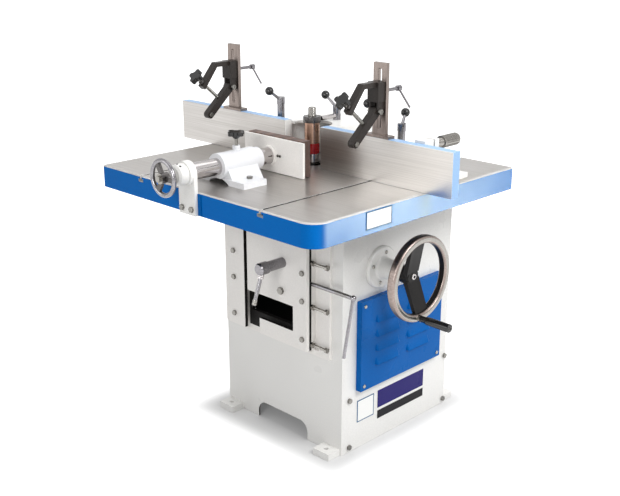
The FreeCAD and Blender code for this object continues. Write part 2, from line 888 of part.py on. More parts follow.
def make_keepers():
    depth = (KEEPER_FRONT, RAIL_FRONT)
    strip = box((SLIDE_LEFT, LEFT_KEEPER_EDGE), depth, ("slide_bottom", SLIDE_TOP))
    notch = f"({RIGHT_KEEPER_EDGE} + notch_width)"
    corners = [
        (RIGHT_KEEPER_EDGE, SLIDE_TOP),
        (RIGHT_KEEPER_EDGE, "window_top"),
        (OPENING_RIGHT, "window_top"),
        (OPENING_RIGHT, "window_bottom"),
        (notch, "window_bottom"),
        (notch, "slide_bottom"),
        (SLIDE_RIGHT, "slide_bottom"),
        (SLIDE_RIGHT, SLIDE_TOP),
    ]
    plate = padded("XZ", corners, depth)
    lock_hole = rod("Y", "lock_screw + running_fit", (f"{depth[0]} - cut_over", f"{depth[1]} + cut_over"),
                    ("spindle_x + lock_x", "lock_z"))
    node("slide_keepers", group(strip, cut(plate, lock_hole)))


def make_gib():
    node("gib", box(
        (GIB_LEFT, GIB_RIGHT),
        (f"{RAIL_FRONT} + slide_gap", f"{FLANGE_FRONT} - slide_gap"),
        ("gib_bottom", f"{SLIDE_TOP} - slide_gap"),
    ))


def make_gib_screws():
    screws = []
    for level in ("low", "mid", "high"):
        axis = (SLIDE_MIDDLE, f"gib_screw_{level}")
        tip = f"{SLIDE_RIGHT} + gib_screw_reach"
        shank = rod("X", "gib_screw_radius", (GIB_RIGHT, tip), axis)
        head = hexagon("X", "gib_nut_radius", "gib_nut_thick", (tip, *axis))
        lock_nut = hexagon("X", "gib_nut_radius", "gib_nut_thick", (SLIDE_RIGHT, *axis))
        screws.append(fuse(shank, head, lock_nut))
    node("gib_screws", group(*screws))


def make_slide_lock():
    axis = ("spindle_x + lock_x", "lock_z")
    boss_end = f"({KEEPER_FRONT} - slide_gap - lock_boss_length)"
    cap_end = f"({boss_end} - lock_cap_length)"
    profile = [
        ("0", cap_end),
        ("lock_cap * 0.8", cap_end),
        ("lock_cap", f"{cap_end} + lock_cap * 0.2"),
        ("lock_cap", f"{boss_end} - lock_cap * 0.2"),
        ("lock_boss", boss_end),
        ("lock_boss", f"{KEEPER_FRONT} - slide_gap"),
        ("lock_screw", f"{KEEPER_FRONT} - slide_gap"),
        ("lock_screw", RAIL_FRONT),
        ("0", RAIL_FRONT),
    ]
    body = turned("Y", profile, axis)
    middle = (axis[0], f"{cap_end} + lock_cap_length / 2", axis[1])
    bar = leaning_rod("lock_bar", "lock_bar_length", middle, VECTOR(1, 0, 0), "180 - lock_bar_lean")
    node("slide_lock_lever", fuse(body, bar))


def make_side_lock():
    tip = f"({SLIDE_RIGHT} + side_lock_reach)"
    stem = rod("X", "side_lock_radius", (GIB_RIGHT, tip), (SLIDE_MIDDLE, "side_lock_z"))
    cap = ball("side_lock_radius * 1.5", (tip, SLIDE_MIDDLE, "side_lock_z"))
    bar = leaning_rod("side_lock_bar", "side_lock_bar_length", (tip, SLIDE_MIDDLE, "side_lock_z"),
                      VECTOR(1, 0, 0), "180 - side_lock_lean")
    node("side_lock_lever", fuse(stem, cap, bar))


# Carriage, spindle and drive
def make_carriage():
    slide = box(
        (f"{LEFT_RAIL_INNER} + slide_gap", f"{GIB_LEFT} - slide_gap"),
        (f"{RAIL_FRONT} + slide_gap", f"{FLANGE_FRONT} - slide_gap"),
        ("carriage_bottom", "carriage_top"),
    )
    web_depth = (f"{FLANGE_FRONT} - slide_gap", "spindle_y")
    web = box(about("spindle_x", "web_width"), web_depth, ("web_bottom", "web_top"))
    housing = rod("Z", "housing_radius", ("housing_bottom", "housing_top"), SPINDLE)
    lug = box(
        ("spindle_x", f"{LIFT_X} + lug_width / 2"),
        about("wheel_y", "lug_width"),
        ("lug_bottom", "lug_bottom + lug_height"),
    )
    plate_top = "(housing_bottom + motor_plate_thick)"
    plate = box(
        about("spindle_x", "motor_plate_width"),
        ("spindle_y", "motor_y + motor_plate_width / 2"),
        ("housing_bottom", plate_top),
    )
    bore_span = ("housing_bottom - cut_over", "housing_top + cut_over")
    bore = rod("Z", "bearing_radius + running_fit", bore_span, SPINDLE)
    nut_hole = rod("Z", "lift_nut_radius + running_fit",
                   ("lug_bottom - cut_over", "lug_bottom + lug_height + cut_over"), (LIFT_X, "wheel_y"))
    motor_span = ("housing_bottom - cut_over", f"{plate_top} + cut_over")
    motor_hole = rod("Z", "motor_shaft_radius + slide_gap", motor_span, MOTOR)
    node("spindle_carriage", cut(fuse(slide, web, housing, lug, plate), bore, nut_hole, motor_hole))


def make_bearings():
    rings = []
    for low in ("housing_bottom", "housing_top - bearing_height"):
        outer = rod("Z", "bearing_radius", (low, f"{low} + bearing_height"), SPINDLE)
        through = (f"{low} - cut_over", f"{low} + bearing_height + cut_over")
        inner = rod("Z", "shaft_journal + running_fit", through, SPINDLE)
        rings.append(cut(outer, inner))
    node("spindle_bearings", group(*rings))


def make_lift_nut():
    level = ("lug_bottom", "lug_bottom + lug_height")
    outer = rod("Z", "lift_nut_radius", level, (LIFT_X, "wheel_y"))
    inner = rod("Z", "lift_screw_radius + running_fit", (f"{level[0]} - cut_over", f"{level[1]} + cut_over"),
                (LIFT_X, "wheel_y"))
    node("lift_nut", cut(outer, inner))


BASE_COLLAR_LOW = "(table_height + base_collar_bottom)"
GUIDE_RING_LOW = f"({BASE_COLLAR_LOW} + base_collar_height)"
SLEEVE_LOW = f"({GUIDE_RING_LOW} + guide_ring_height)"
NUT_LOW = f"({SLEEVE_LOW} + sleeve_height)"
NUT_HIGH = f"({NUT_LOW} + nut_height)"


def make_spindle():
    profile = [
        ("0", "shaft_bottom"),
        ("shaft_tail", "shaft_bottom"),
        ("shaft_tail", "shaft_tail_top"),
        ("shaft_journal", "shaft_tail_top"),
        ("shaft_journal", "housing_top + bearing_height"),
        ("shaft_neck", "housing_top + bearing_height"),
        ("shaft_neck", BASE_COLLAR_LOW),
        ("shaft_nose", BASE_COLLAR_LOW),
        ("shaft_nose", NUT_LOW),
        ("shaft_thread", NUT_LOW),
        ("shaft_thread", "table_height + shaft_top - shaft_thread / 4"),
        ("shaft_thread * 0.8", "table_height + shaft_top"),
        ("0", "table_height + shaft_top"),
    ]
    node("spindle_shaft", turned("Z", profile, SPINDLE))
    stack = (
        ("base_collar", "stack_radius", "shaft_nose", BASE_COLLAR_LOW, GUIDE_RING_LOW),
        ("guide_ring", "stack_radius", "shaft_nose", GUIDE_RING_LOW, SLEEVE_LOW),
        ("spacer_sleeve", "stack_radius", "shaft_nose", SLEEVE_LOW, NUT_LOW),
        ("spindle_nut", "nut_radius", "shaft_thread", NUT_LOW, NUT_HIGH),
    )
    for label, outer, inner, low, high in stack:
        ring = rod("Z", outer, (low, high), SPINDLE)
        bore = rod("Z", f"{inner} + running_fit", (f"{low} - cut_over", f"{high} + cut_over"), SPINDLE)
        node(label, cut(ring, bore))


def make_pulley(label, radius, bore, centre):
    """Single groove pulley on the belt's level."""
    low = "(belt_height - pulley_width / 2)"
    high = "(belt_height + pulley_width / 2)"
    profile = [
        (f"{bore} + running_fit", low),
        (radius, low),
        (radius, "belt_height - groove_top / 2"),
        (f"{radius} - groove_depth", "belt_height - groove_bottom / 2"),
        (f"{radius} - groove_depth", "belt_height + groove_bottom / 2"),
        (radius, "belt_height + groove_top / 2"),
        (radius, high),
        (f"{bore} + running_fit", high),
    ]
    node(label, turned("Z", profile, centre))


def make_motor():
    low = "(housing_bottom + motor_plate_thick)"
    bell = "motor_height / 6"
    profile = [("0", low), ("motor_bell", low), ("motor_bell", f"{low} + {bell}")]
    pitch = f"(motor_height - 2 * {bell}) / motor_fins"
    for fin in range(int(value("motor_fins"))):
        foot = f"{low} + {bell} + {fin} * {pitch}"
        profile.append(("motor_radius", foot))
        profile.append(("motor_radius", f"{foot} + {pitch} / 2"))
        profile.append(("motor_radius - motor_fin_depth", f"{foot} + {pitch} / 2"))
        profile.append(("motor_radius - motor_fin_depth", f"{foot} + {pitch}"))
    profile.append(("motor_bell", f"{low} + motor_height - {bell}"))
    profile.append(("motor_bell", f"{low} + motor_height - {bell} / 2"))
    profile.append(("motor_bell * 0.85", f"{low} + motor_height"))
    profile.append(("0", f"{low} + motor_height"))
    socket_span = (f"{low} - cut_over", f"{low} + motor_shaft_depth")
    socket = rod("Z", "motor_shaft_radius + running_fit", socket_span, MOTOR)
    node("motor", cut(turned("Z", profile, MOTOR), socket))
    shaft_low = "belt_height - pulley_width / 2"
    node("motor_shaft", rod("Z", "motor_shaft_radius", (shaft_low, f"{low} + motor_shaft_depth"), MOTOR))


def make_belt():
    gap = value("motor_y - spindle_y")
    small_outer = value("spindle_pulley_radius - belt_inset")
    large_outer = value("motor_pulley_radius - belt_inset")
    lean = math.asin((large_outer - small_outer) / gap)

    def loop(inset):
        small = small_outer - inset
        large = large_outer - inset
        side = VECTOR(math.cos(lean), -math.sin(lean), 0)
        other = VECTOR(-side.x, side.y, 0)
        far = VECTOR(0, gap, 0)
        near_arc = Part.Arc(other * small, VECTOR(0, -small, 0), side * small)
        run_out = Part.LineSegment(side * small, far + side * large)
        far_arc = Part.Arc(far + side * large, far + VECTOR(0, large, 0), far + other * large)
        run_back = Part.LineSegment(far + other * large, other * small)
        edges = [curve.toShape() for curve in (near_arc, run_out, far_arc, run_back)]
        return Part.Face(Part.Wire(edges))

    band = loop(0).cut(loop(value("belt_depth")))
    belt = doc.addObject("Part::Feature", "Belt")
    belt.Shape = band.extrude(VECTOR(0, 0, value("belt_width"))).Solids[0]
    move_to(belt, *SPINDLE, "belt_height - belt_width / 2")
    node("drive_belt", belt)


# Lifting gear
def make_lift():
    apex_z = "wheel_z"
    screw = rod("Z", "lift_screw_radius", ("lift_screw_bottom", "lift_screw_top"), (LIFT_X, "wheel_y"))
    lift_gear = turned("Z", [
        ("0", f"{apex_z} + gear_inner"),
        ("gear_inner - gear_gap", f"{apex_z} + gear_inner"),
        ("gear_outer - gear_gap", f"{apex_z} + gear_outer"),
        ("0", f"{apex_z} + gear_outer"),
    ], (LIFT_X, "wheel_y"))
    node("lead_screw", fuse(screw, lift_gear))
    shaft = rod("X", "wheel_shaft", (f"{LIFT_X} + gear_inner", HUB_FACE), WHEEL_AXIS)
    cross_gear = turned("X", [
        ("0", f"{LIFT_X} + gear_inner"),
        ("gear_inner - gear_gap", f"{LIFT_X} + gear_inner"),
        ("gear_outer - gear_gap", f"{LIFT_X} + gear_outer"),
        ("0", f"{LIFT_X} + gear_outer"),
    ], WHEEL_AXIS)
    node("handwheel_shaft", fuse(shaft, cross_gear))

    arm_top = "(wheel_z - bracket_arm_drop)"
    arm = box(
        (f"{LIFT_X} - bracket_width / 2", WALL_RIGHT_INNER),
        about("wheel_y", "bracket_width"),
        (f"{arm_top} - bracket_arm_thick", arm_top),
    )
    lug_left = f"({LIFT_X} + bracket_lug_offset)"
    lug = box(
        (lug_left, f"{lug_left} + bracket_lug_thick"),
        about("wheel_y", "bracket_width"),
        (arm_top, "wheel_z + bracket_width / 2"),
    )
    plate = box(
        (f"{WALL_RIGHT_INNER} - bracket_plate", WALL_RIGHT_INNER),
        about("wheel_y", "bracket_plate_width"),
        about("wheel_z", "bracket_plate_height"),
    )
    arm_span = (f"{arm_top} - bracket_arm_thick - cut_over", f"{arm_top} + cut_over")
    screw_bore = rod("Z", "lift_screw_radius + running_fit", arm_span, (LIFT_X, "wheel_y"))
    lug_span = (f"{lug_left} - cut_over", f"{lug_left} + bracket_lug_thick + cut_over")
    shaft_bore = rod("X", "wheel_shaft + running_fit", lug_span, WHEEL_AXIS)
    wall_span = (f"{WALL_RIGHT_INNER} - bracket_plate - cut_over", f"{WALL_RIGHT_INNER} + cut_over")
    wall_bore = rod("X", "shaft_hole", wall_span, WHEEL_AXIS)
    node("lift_bracket", cut(fuse(arm, lug, plate), screw_bore, shaft_bore, wall_bore))


def make_shaft_flange():
    neck_end = f"({SHAFT_FLANGE_FACE} + flange_neck_length)"
    profile = [
        ("wheel_shaft + running_fit", WALL_RIGHT),
        ("flange_radius", WALL_RIGHT),
        ("flange_radius", f"{SHAFT_FLANGE_FACE} - shaft_flange_thick / 3"),
        ("flange_radius - shaft_flange_thick / 3", SHAFT_FLANGE_FACE),
        ("flange_neck + shaft_flange_thick / 2", SHAFT_FLANGE_FACE),
        ("flange_neck", f"{SHAFT_FLANGE_FACE} + shaft_flange_thick / 2"),
        ("flange_neck", f"{neck_end} - shaft_flange_thick / 4"),
        ("flange_neck - shaft_flange_thick / 4", neck_end),
        ("wheel_shaft + running_fit", neck_end),
    ]
    node("shaft_flange", turned("X", profile, WHEEL_AXIS))


def rim(axis, large, small, centre):
    """Round rim of a handwheel."""
    ring = doc.addObject("Part::Torus", "Rim")
    bind(ring, Radius1=large, Radius2=small)
    ring.Placement = FreeCAD.Placement(VECTOR(), TURN_TO[axis])
    return move_to(ring, *centre)


def spoke(points, width, axis, centre, turn):
    """Flat spoke: a profile of (radius, height) points made a bar and turned about the wheel's axis."""
    bar = padded("XZ", points, about("0", width))
    holder = group(bar)
    step = FreeCAD.Rotation(VECTOR(0, 0, 1), turn)
    holder.Placement = FreeCAD.Placement(VECTOR(), TURN_TO[axis] * step)
    return move_to(holder, *centre)


def is_round(middle, edge):
    """Whether an edge is a circle."""
    return hasattr(edge.Curve, "Radius")


def make_handwheel():
    hub = turned("X", [
        ("wheel_shaft + running_fit", HUB_BACK),
        ("hub_radius * 0.85", HUB_BACK),
        ("hub_radius", f"{HUB_BACK} + hub_length / 2"),
        ("hub_radius", f"{HUB_FACE} - hub_length / 8"),
        ("hub_radius * 0.8", HUB_FACE),
        ("wheel_shaft + running_fit", HUB_FACE),
    ], WHEEL_AXIS)
    inner = "(wheel_shaft + running_fit)"
    outer = "(wheel_radius - rim_width / 4)"
    low = "(hub_length * 0.6)"
    high = "(rim_stand - spoke_thick / 2)"
    profile = [
        (inner, low),
        (outer, high),
        (outer, f"{high} + spoke_thick"),
        (inner, f"{low} + spoke_thick * 1.4"),
    ]
    base = (HUB_BACK, *WHEEL_AXIS)
    spokes = []
    for half_turn in (0, 180):
        spokes.append(spoke(profile, "spoke_width", "X", base, value("spoke_lean") + half_turn))
    rim_back = f"({RIM_X} - rim_depth / 2)"
    pin_start = f"({RIM_X} + rim_depth / 2)"
    ring = turned("X", [
        ("wheel_radius - rim_width / 2", rim_back),
        ("wheel_radius + rim_width / 2", rim_back),
        ("wheel_radius + rim_width / 2", pin_start),
        ("wheel_radius - rim_width / 2", pin_start),
    ], WHEEL_AXIS)
    dressed(ring, "Fillet", "Radius", "rim_round", is_round)
    pin_axis = ("wheel_y + wheel_radius * sin(handle_turn)", "wheel_z - wheel_radius * cos(handle_turn)")
    collar_end = f"({pin_start} + handle_collar_length)"
    collar = rod("X", "handle_collar", (RIM_X, collar_end), pin_axis)
    pin = rod("X", "handle_pin", (RIM_X, f"{collar_end} + handle_length * 0.9"), pin_axis)
    bore_span = (f"{HUB_BACK} - cut_over", f"{HUB_FACE} + cut_over")
    bore = rod("X", "wheel_shaft + running_fit", bore_span, WHEEL_AXIS)
    node("handwheel", cut(fuse(hub, ring, *spokes, collar, pin), bore))

    root = f"({collar_end} + slide_gap)"
    tip = f"({root} + handle_length)"
    grip = turned("X", [
        ("0", root),
        ("handle_root", root),
        ("handle_tip", f"{root} + handle_length * 0.62"),
        ("handle_tip", f"{root} + handle_length * 0.9"),
        ("handle_tip * 0.7", tip),
        ("0", tip),
    ], pin_axis)
    socket_span = (f"{root} - cut_over", f"{root} + handle_length * 0.92")
    socket = rod("X", "handle_pin + running_fit", socket_span, pin_axis)
    node("handwheel_handle", cut(grip, socket))


# Fence
def make_fence_half(label, low, high):
    outer = box((low, high), ("-fence_face", FENCE_BACK), (FENCE_BOTTOM, FENCE_TOP))
    count = int(value("fence_ribs"))
    pitch = f"(({high}) - ({low}) - fence_rim) / {count}"
    pockets = []
    for index in range(count):
        start = f"({low}) + fence_rim + {index} * {pitch}"
        pockets.append(box(
            (start, f"{start} + {pitch} - fence_rim"),
            ("-fence_face + fence_wall", f"{FENCE_BACK} + cut_over"),
            (f"{FENCE_BOTTOM} + fence_rim", f"{FENCE_TOP} - fence_rim"),
        ))
    node(label, cut(outer, *pockets))


def make_fence_body():
    left = "(spindle_x - base_left)"
    right = "(spindle_x + base_right)"
    hood_left = "(spindle_x - hood_left)"
    hood_right = "(spindle_x + hood_right)"
    base = box((left, right), (WING_FRONT, "base_back"), (FENCE_BOTTOM, BASE_TOP))
    wing_top = f"{FENCE_BOTTOM} + wing_height"
    left_wing = box((left, hood_left), (WING_FRONT, WING_BACK), (BASE_TOP, wing_top))
    corners = [
        (hood_left, WING_FRONT),
        (hood_right, WING_FRONT),
        (hood_right, "hood_back"),
        (hood_left, "hood_back"),
    ]
    shell = padded("XY", corners, (FENCE_BOTTOM, HOOD_TOP))
    back_y = value("hood_back")

    def is_back_corner(middle, edge):
        return is_upright(edge) and near(middle.y, back_y)

    dressed(shell, "Fillet", "Radius", "hood_corner", is_back_corner)
    chamber = padded("XY", [
        (f"{hood_left} + hood_wall", f"{WING_FRONT} - cut_over"),
        (f"{hood_right} - hood_wall", f"{WING_FRONT} - cut_over"),
        (f"{hood_right} - hood_wall", "hood_back - hood_wall"),
        (f"{hood_left} + hood_wall", "hood_back - hood_wall"),
    ], (f"{FENCE_BOTTOM} - cut_over", f"{HOOD_TOP} - hood_wall"))
    chamber_back = value("hood_back - hood_wall")

    def is_chamber_corner(middle, edge):
        return is_upright(edge) and near(middle.y, chamber_back)

    dressed(chamber, "Fillet", "Radius", "hood_corner - hood_wall", is_chamber_corner)
    outlet_axis = ("spindle_x + (hood_right - hood_left) / 2", f"{FENCE_BOTTOM} + outlet_height")
    outlet = rod("Y", "outlet_radius", ("hood_back - hood_wall", "hood_back + outlet_length"), outlet_axis)
    outlet_span = ("hood_back - hood_wall - cut_over", "hood_back + outlet_length + cut_over")
    outlet_bore = rod("Y", "outlet_radius - outlet_wall", outlet_span, outlet_axis)
    lug_back = "(knob_nose_y - slide_gap)"
    lug = box(
        about("knob_x", "knob_lug_width"),
        (f"{lug_back} - knob_lug_thick", lug_back),
        (BASE_TOP, f"{FENCE_BOTTOM} + knob_z + knob_lug_width / 2"),
    )
    lug_span = (f"{lug_back} - knob_lug_thick - cut_over", f"{lug_back} + cut_over")
    lug_bore = rod("Y", "knob_screw + running_fit", lug_span, ("knob_x", f"{FENCE_BOTTOM} + knob_z"))
    mouth = rod("Z", "hood_mouth", (FENCE_BOTTOM, f"{HOOD_TOP} + cut_over"), SPINDLE)
    body = fuse(base, left_wing, shell, outlet, lug)
    node("fence_body", cut(body, chamber, mouth, outlet_bore, lug_bore))

    carrier = box((hood_right, right), (WING_FRONT, WING_BACK), (BASE_TOP, wing_top))
    nut_lug = box(
        about("knob_x", "knob_lug_width"),
        (WING_FRONT, f"{lug_back} - knob_lug_thick - carrier_gap"),
        (BASE_TOP, f"{FENCE_BOTTOM} + knob_z + knob_lug_width / 2"),
    )
    thread = rod("Y", "knob_screw + running_fit", (f"{WING_FRONT} - cut_over", f"{lug_back} + cut_over"),
                 ("knob_x", f"{FENCE_BOTTOM} + knob_z"))
    node("right_fence_carrier", cut(fuse(carrier, nut_lug), thread))


TALL_POST_TOP = f"({FENCE_BOTTOM} + tall_post_top)"
SHORT_POST_TOP = f"({FENCE_BOTTOM} + short_post_top)"
HOOD_POST_TOP = f"({HOOD_TOP} + hood_post_height)"
POSTS = {
    "left_clamp_lever": ("left_post_x", "front_post_y", BASE_TOP, TALL_POST_TOP, "left_lever_turn"),
    "hood_clamp_lever": ("hood_post_x", "hood_post_y", HOOD_TOP, HOOD_POST_TOP, "hood_lever_turn"),
    "right_clamp_lever": ("right_post_x", "front_post_y", BASE_TOP, TALL_POST_TOP, "right_lever_turn"),
    "end_clamp_lever": ("end_post_x", "end_post_y", BASE_TOP, SHORT_POST_TOP, "end_lever_turn"),
}


def make_clamps():
    posts = []
    rod_z = f"{HOOD_TOP} + hood_post_height / 2"
    for label, (x, y, low, high, turn) in POSTS.items():
        post = fuse(
            rod("Z", "post_radius", (low, high), (x, y)),
            rod("Z", "post_pin", (high, f"{high} + post_pin_height"), (x, y)),
        )
        if label == "hood_clamp_lever":
            clear = (f"{y} - post_radius - cut_over", f"{y} + post_radius + cut_over")
            post = cut(post, rod("Y", "guard_rod_radius + running_fit", clear, (x, rod_z)))
        posts.append(post)
        hub = rod("Z", "lever_hub", ("slide_gap", "lever_hub_height"), ("0", "0"))
        rise = "lever_hub_height / 2"
        arm = leaning_rod("lever_arm_root", "lever_arm_length", ("0", "0", rise), VECTOR(0, 1, 0),
                          "90 - lever_rise", "lever_arm_tip")
        knob = ball("lever_ball", (
            "lever_arm_length * cos(lever_rise)", "0", f"{rise} + lever_arm_length * sin(lever_rise)"))
        seat = rod("Z", "post_pin + running_fit", ("-cut_over", "post_pin_height + slide_gap"), ("0", "0"))
        lever = cut(fuse(hub, arm, knob), seat)
        lever.Placement = FreeCAD.Placement(VECTOR(), FreeCAD.Rotation(VECTOR(0, 0, 1), value(turn)))
        bind(lever, Placement__Rotation__Angle=turn)
        node(label, move_to(lever, x, y, high))
    node("clamp_posts", group(*posts))
    front = "(hood_post_y + post_radius - guard_rod_length)"
    back = f"({front} + guard_rod_length)"
    tube = rod("Y", "guard_rod_radius", (front, back), ("hood_post_x", rod_z))
    bore_span = (f"{front} - cut_over", f"{back} - post_radius")
    tube_bore = rod("Y", "guard_rod_bore", bore_span, ("hood_post_x", rod_z))
    node("guard_rod", cut(tube, tube_bore))


def make_adjust_knob():
    axis = ("knob_x", f"{FENCE_BOTTOM} + knob_z")
    nose = "knob_nose_y"
    shoulder = "(knob_nose_y + knob_nose_length)"
    tail = "(knob_nose_y + knob_length)"
    grip = turned("Y", [
        ("0", f"{WING_FRONT} + slide_gap"),
        ("knob_screw", f"{WING_FRONT} + slide_gap"),
        ("knob_screw", nose),
        ("knob_nose_radius", nose),
        ("knob_radius * 0.8", shoulder),
        ("knob_radius", shoulder),
        ("knob_radius", f"{tail} - knob_round"),
        ("knob_radius - knob_round", tail),
        ("0", tail),
    ], axis)
    flutes = []
    for index in range(int(value("knob_flutes"))):
        turn = f"(360 * {index} / knob_flutes)"
        place = (f"{axis[0]} + knob_radius * cos({turn})", f"{axis[1]} + knob_radius * sin({turn})")
        span = (f"{shoulder} + knob_round", f"{tail} + cut_over")
        flutes.append(rod("Y", "knob_flute_radius", span, place))
    node("adjust_knob", cut(grip, *flutes))


# Hold-downs, built about the foot of the post: X across, Y from the post's middle, Z from the fence top
BLOCK_FRONT = "(-post_thick / 2 - slide_gap - block_depth)"
BLOCK_BACK = "(-post_thick / 2 - slide_gap)"
BLOCK_TOP = "(block_rise + block_height)"
PIVOT_Y = "(-post_thick / 2 - pivot_forward)"
PIVOT_Z = "(block_rise - pivot_drop)"
CLAMP_Z = "(block_rise + clamp_rise)"
HOLD_Y = "(-fence_face + fence_thick / 2)"


def placed(thing, x):
    """Stand a hold-down piece on the top of its fence half."""
    return move_to(thing, x, HOLD_Y, FENCE_TOP)


def lobed_knob(radius, lobe, thick, lobes=4):
    """Knob of round lobes about +Z, standing on the origin."""
    pieces = [rod("Z", radius, ("0", thick), ("0", "0"))]
    for index in range(lobes):
        turn = 360 * index / lobes
        centre = (f"{radius} * cos({turn})", f"{radius} * sin({turn})")
        pieces.append(rod("Z", lobe, ("0", thick), centre))
    return fuse(*pieces)


def make_hold_down(side, x):
    foot = box(about("0", "post_foot_width"), about("0", "fence_thick"), ("0", "post_foot_thick"))
    upright = box(about("0", "post_width"), about("0", "post_thick"), ("0", "post_height"))
    slot_low = "(post_foot_thick + post_slot_margin)"
    slot_high = "(post_height - post_slot_margin)"
    across = ("-post_thick", "post_thick")
    slot = fuse(
        box(about("0", "post_slot"), across, (slot_low, slot_high)),
        rod("Y", "post_slot / 2", across, ("0", slot_low)),
        rod("Y", "post_slot / 2", across, ("0", slot_high)),
    )
    node(f"{side}_hold_post", placed(cut(fuse(foot, upright), slot), x))

    block = box(about("0", "block_width"), (BLOCK_FRONT, BLOCK_BACK), ("block_rise", BLOCK_TOP))
    shoulder_y = f"({BLOCK_FRONT} - bent_arm_shoulder)"
    end_y = f"({shoulder_y} - bent_arm_reach)"
    top_z = BLOCK_TOP
    end_z = f"({top_z} - bent_arm_fall)"
    bent_arm = padded("YZ", [
        (BLOCK_FRONT, top_z),
        (shoulder_y, top_z),
        (f"{end_y} - bent_arm_thick * 0.7", f"{end_z}"),
        (f"{end_y} + bent_arm_thick * 0.1", f"{end_z} - bent_arm_thick * 0.8"),
        (f"{shoulder_y} + bent_arm_thick * 0.3", f"{top_z} - bent_arm_thick"),
        (BLOCK_FRONT, f"{top_z} - bent_arm_thick"),
    ], about("0", "bent_arm_width"))
    skew = "(90 - swing_arm_angle - hold_screw_angle)"
    stand = f"(swing_arm_radius + slide_gap + hold_screw_radius * abs(sin({skew})))"
    screw_foot = (
        "0",
        f"{PIVOT_Y} - hold_screw_seat * sin(swing_arm_angle) - {stand} * cos(swing_arm_angle)",
        f"{PIVOT_Z} - hold_screw_seat * cos(swing_arm_angle) + {stand} * sin(swing_arm_angle)",
    )
    screw_turn = "hold_screw_angle"
    screw_clear = leaning_rod("hold_screw_radius + running_fit", "hold_screw_length", screw_foot,
                              VECTOR(1, 0, 0), screw_turn)
    clamp_span = (f"{BLOCK_BACK} - block_depth / 2", f"{BLOCK_BACK} + cut_over")
    clamp_clear = rod("Y", "clamp_screw + running_fit", clamp_span, ("0", CLAMP_Z))
    pivot = rod("X", "pivot_radius", about("0", "swing_arm_width + 2 * clevis_width / 3"), (PIVOT_Y, PIVOT_Z))
    key = box(about("0", "post_slot - 2 * slide_gap"), (BLOCK_BACK, "post_thick / 2"),
              (f"{CLAMP_Z} + clamp_screw * 2", f"{BLOCK_TOP} - slide_gap"))
    ears = []
    for hand in SIDES:
        ear_x = f"{hand} * (swing_arm_width / 2 + slide_gap + clevis_width / 6)"
        ears.append(box(
            about(ear_x, "clevis_width / 3"),
            (f"{PIVOT_Y} - swing_arm_radius * 0.6", BLOCK_BACK),
            (f"{PIVOT_Z} - swing_arm_radius * 0.6", "block_rise"),
        ))
    frame = cut(fuse(block, bent_arm, key, *ears, pivot), screw_clear, clamp_clear)
    node(f"{side}_hold_block", placed(frame, x))

    arm_turn = "-swing_arm_angle"
    upper = rod("X", "swing_arm_radius", about("0", "swing_arm_width"), ("0", "0"))
    lower = rod("X", "swing_arm_radius", about("0", "swing_arm_width"), ("0", "-swing_arm_length"))
    shank = box(about("0", "swing_arm_width"), about("0", "2 * swing_arm_radius"), ("-swing_arm_length", "0"))
    eye = rod("X", "pivot_radius + running_fit", about("0", "2 * swing_arm_width"), ("0", "0"))
    arm = cut(fuse(upper, lower, shank), eye)
    arm.Placement = FreeCAD.Placement(VECTOR(), FreeCAD.Rotation(VECTOR(1, 0, 0), value(arm_turn)))
    bind(arm, Placement__Rotation__Angle=arm_turn)
    node(f"{side}_hold_arm", move_to(arm, x, f"{HOLD_Y} + {PIVOT_Y}", f"{FENCE_TOP} + {PIVOT_Z}"))

    stem = rod("Z", "hold_screw_radius", ("0", "hold_screw_length"), ("0", "0"))
    grip = lobed_knob("hold_knob_radius", "hold_knob_lobe", "hold_knob_thick")
    move_to(grip, "0", "0", "hold_screw_length - hold_knob_thick / 2")
    screw = fuse(stem, grip)
    screw.Placement = FreeCAD.Placement(VECTOR(), FreeCAD.Rotation(VECTOR(1, 0, 0), value(screw_turn)))
    bind(screw, Placement__Rotation__Angle=screw_turn)
    node(f"{side}_hold_screw",
         move_to(screw, x, f"{HOLD_Y} + {screw_foot[1]}", f"{FENCE_TOP} + {screw_foot[2]}"))

    end = "(post_thick / 2 + clamp_reach)"
    thread = rod("Y", "clamp_screw", (f"{BLOCK_BACK} - block_depth / 2", end), ("0", CLAMP_Z))
    collar = rod("Y", "post_slot", ("post_thick / 2 + slide_gap", "post_thick / 2 + slide_gap + clamp_screw"),
                 ("0", CLAMP_Z))
    boss = rod("Y", "clamp_boss", (f"{end} - clamp_boss_length", end), ("0", CLAMP_Z))
    bar = leaning_rod("clamp_bar", "clamp_bar_length", ("0", f"{end} - clamp_boss_length / 2", CLAMP_Z),
                      VECTOR(0, 1, 0), "180 - clamp_bar_turn")
    node(f"{side}_hold_clamp", placed(fuse(thread, collar, boss, bar), x))


# Front pressure unit
def make_pressure_bracket():
    back = "(-table_front)"
    front = f"({back} - press_bracket_thick)"
    plate = fuse(
        box(about(PRESS_X, "press_bracket_width"), (front, back), (TABLE_UNDER, PRESS_Z)),
        rod("Y", "press_bracket_width / 2", (front, back), PRESS_AXIS),
    )
    collar_end = f"({front} - press_collar_length)"
    collar = turned("Y", [
        ("0", collar_end),
        ("press_collar_radius * 0.8", collar_end),
        ("press_collar_radius", f"{collar_end} + press_collar_radius * 0.2"),
        ("press_collar_radius", f"{front} - press_collar_flange_length"),
        ("press_collar_flange", f"{front} - press_collar_flange_length"),
        ("press_collar_flange", front),
        ("0", front),
    ], PRESS_AXIS)
    guide_span = (f"{collar_end} + press_collar_wall", f"{back} + cut_over")
    guide = rod("Y", "press_bar_radius + running_fit", guide_span, PRESS_AXIS)
    eye = rod("Y", "press_screw_radius + running_fit", (f"{collar_end} - cut_over", f"{back}"), PRESS_AXIS)
    node("pressure_bracket", cut(fuse(plate, collar), guide, eye))


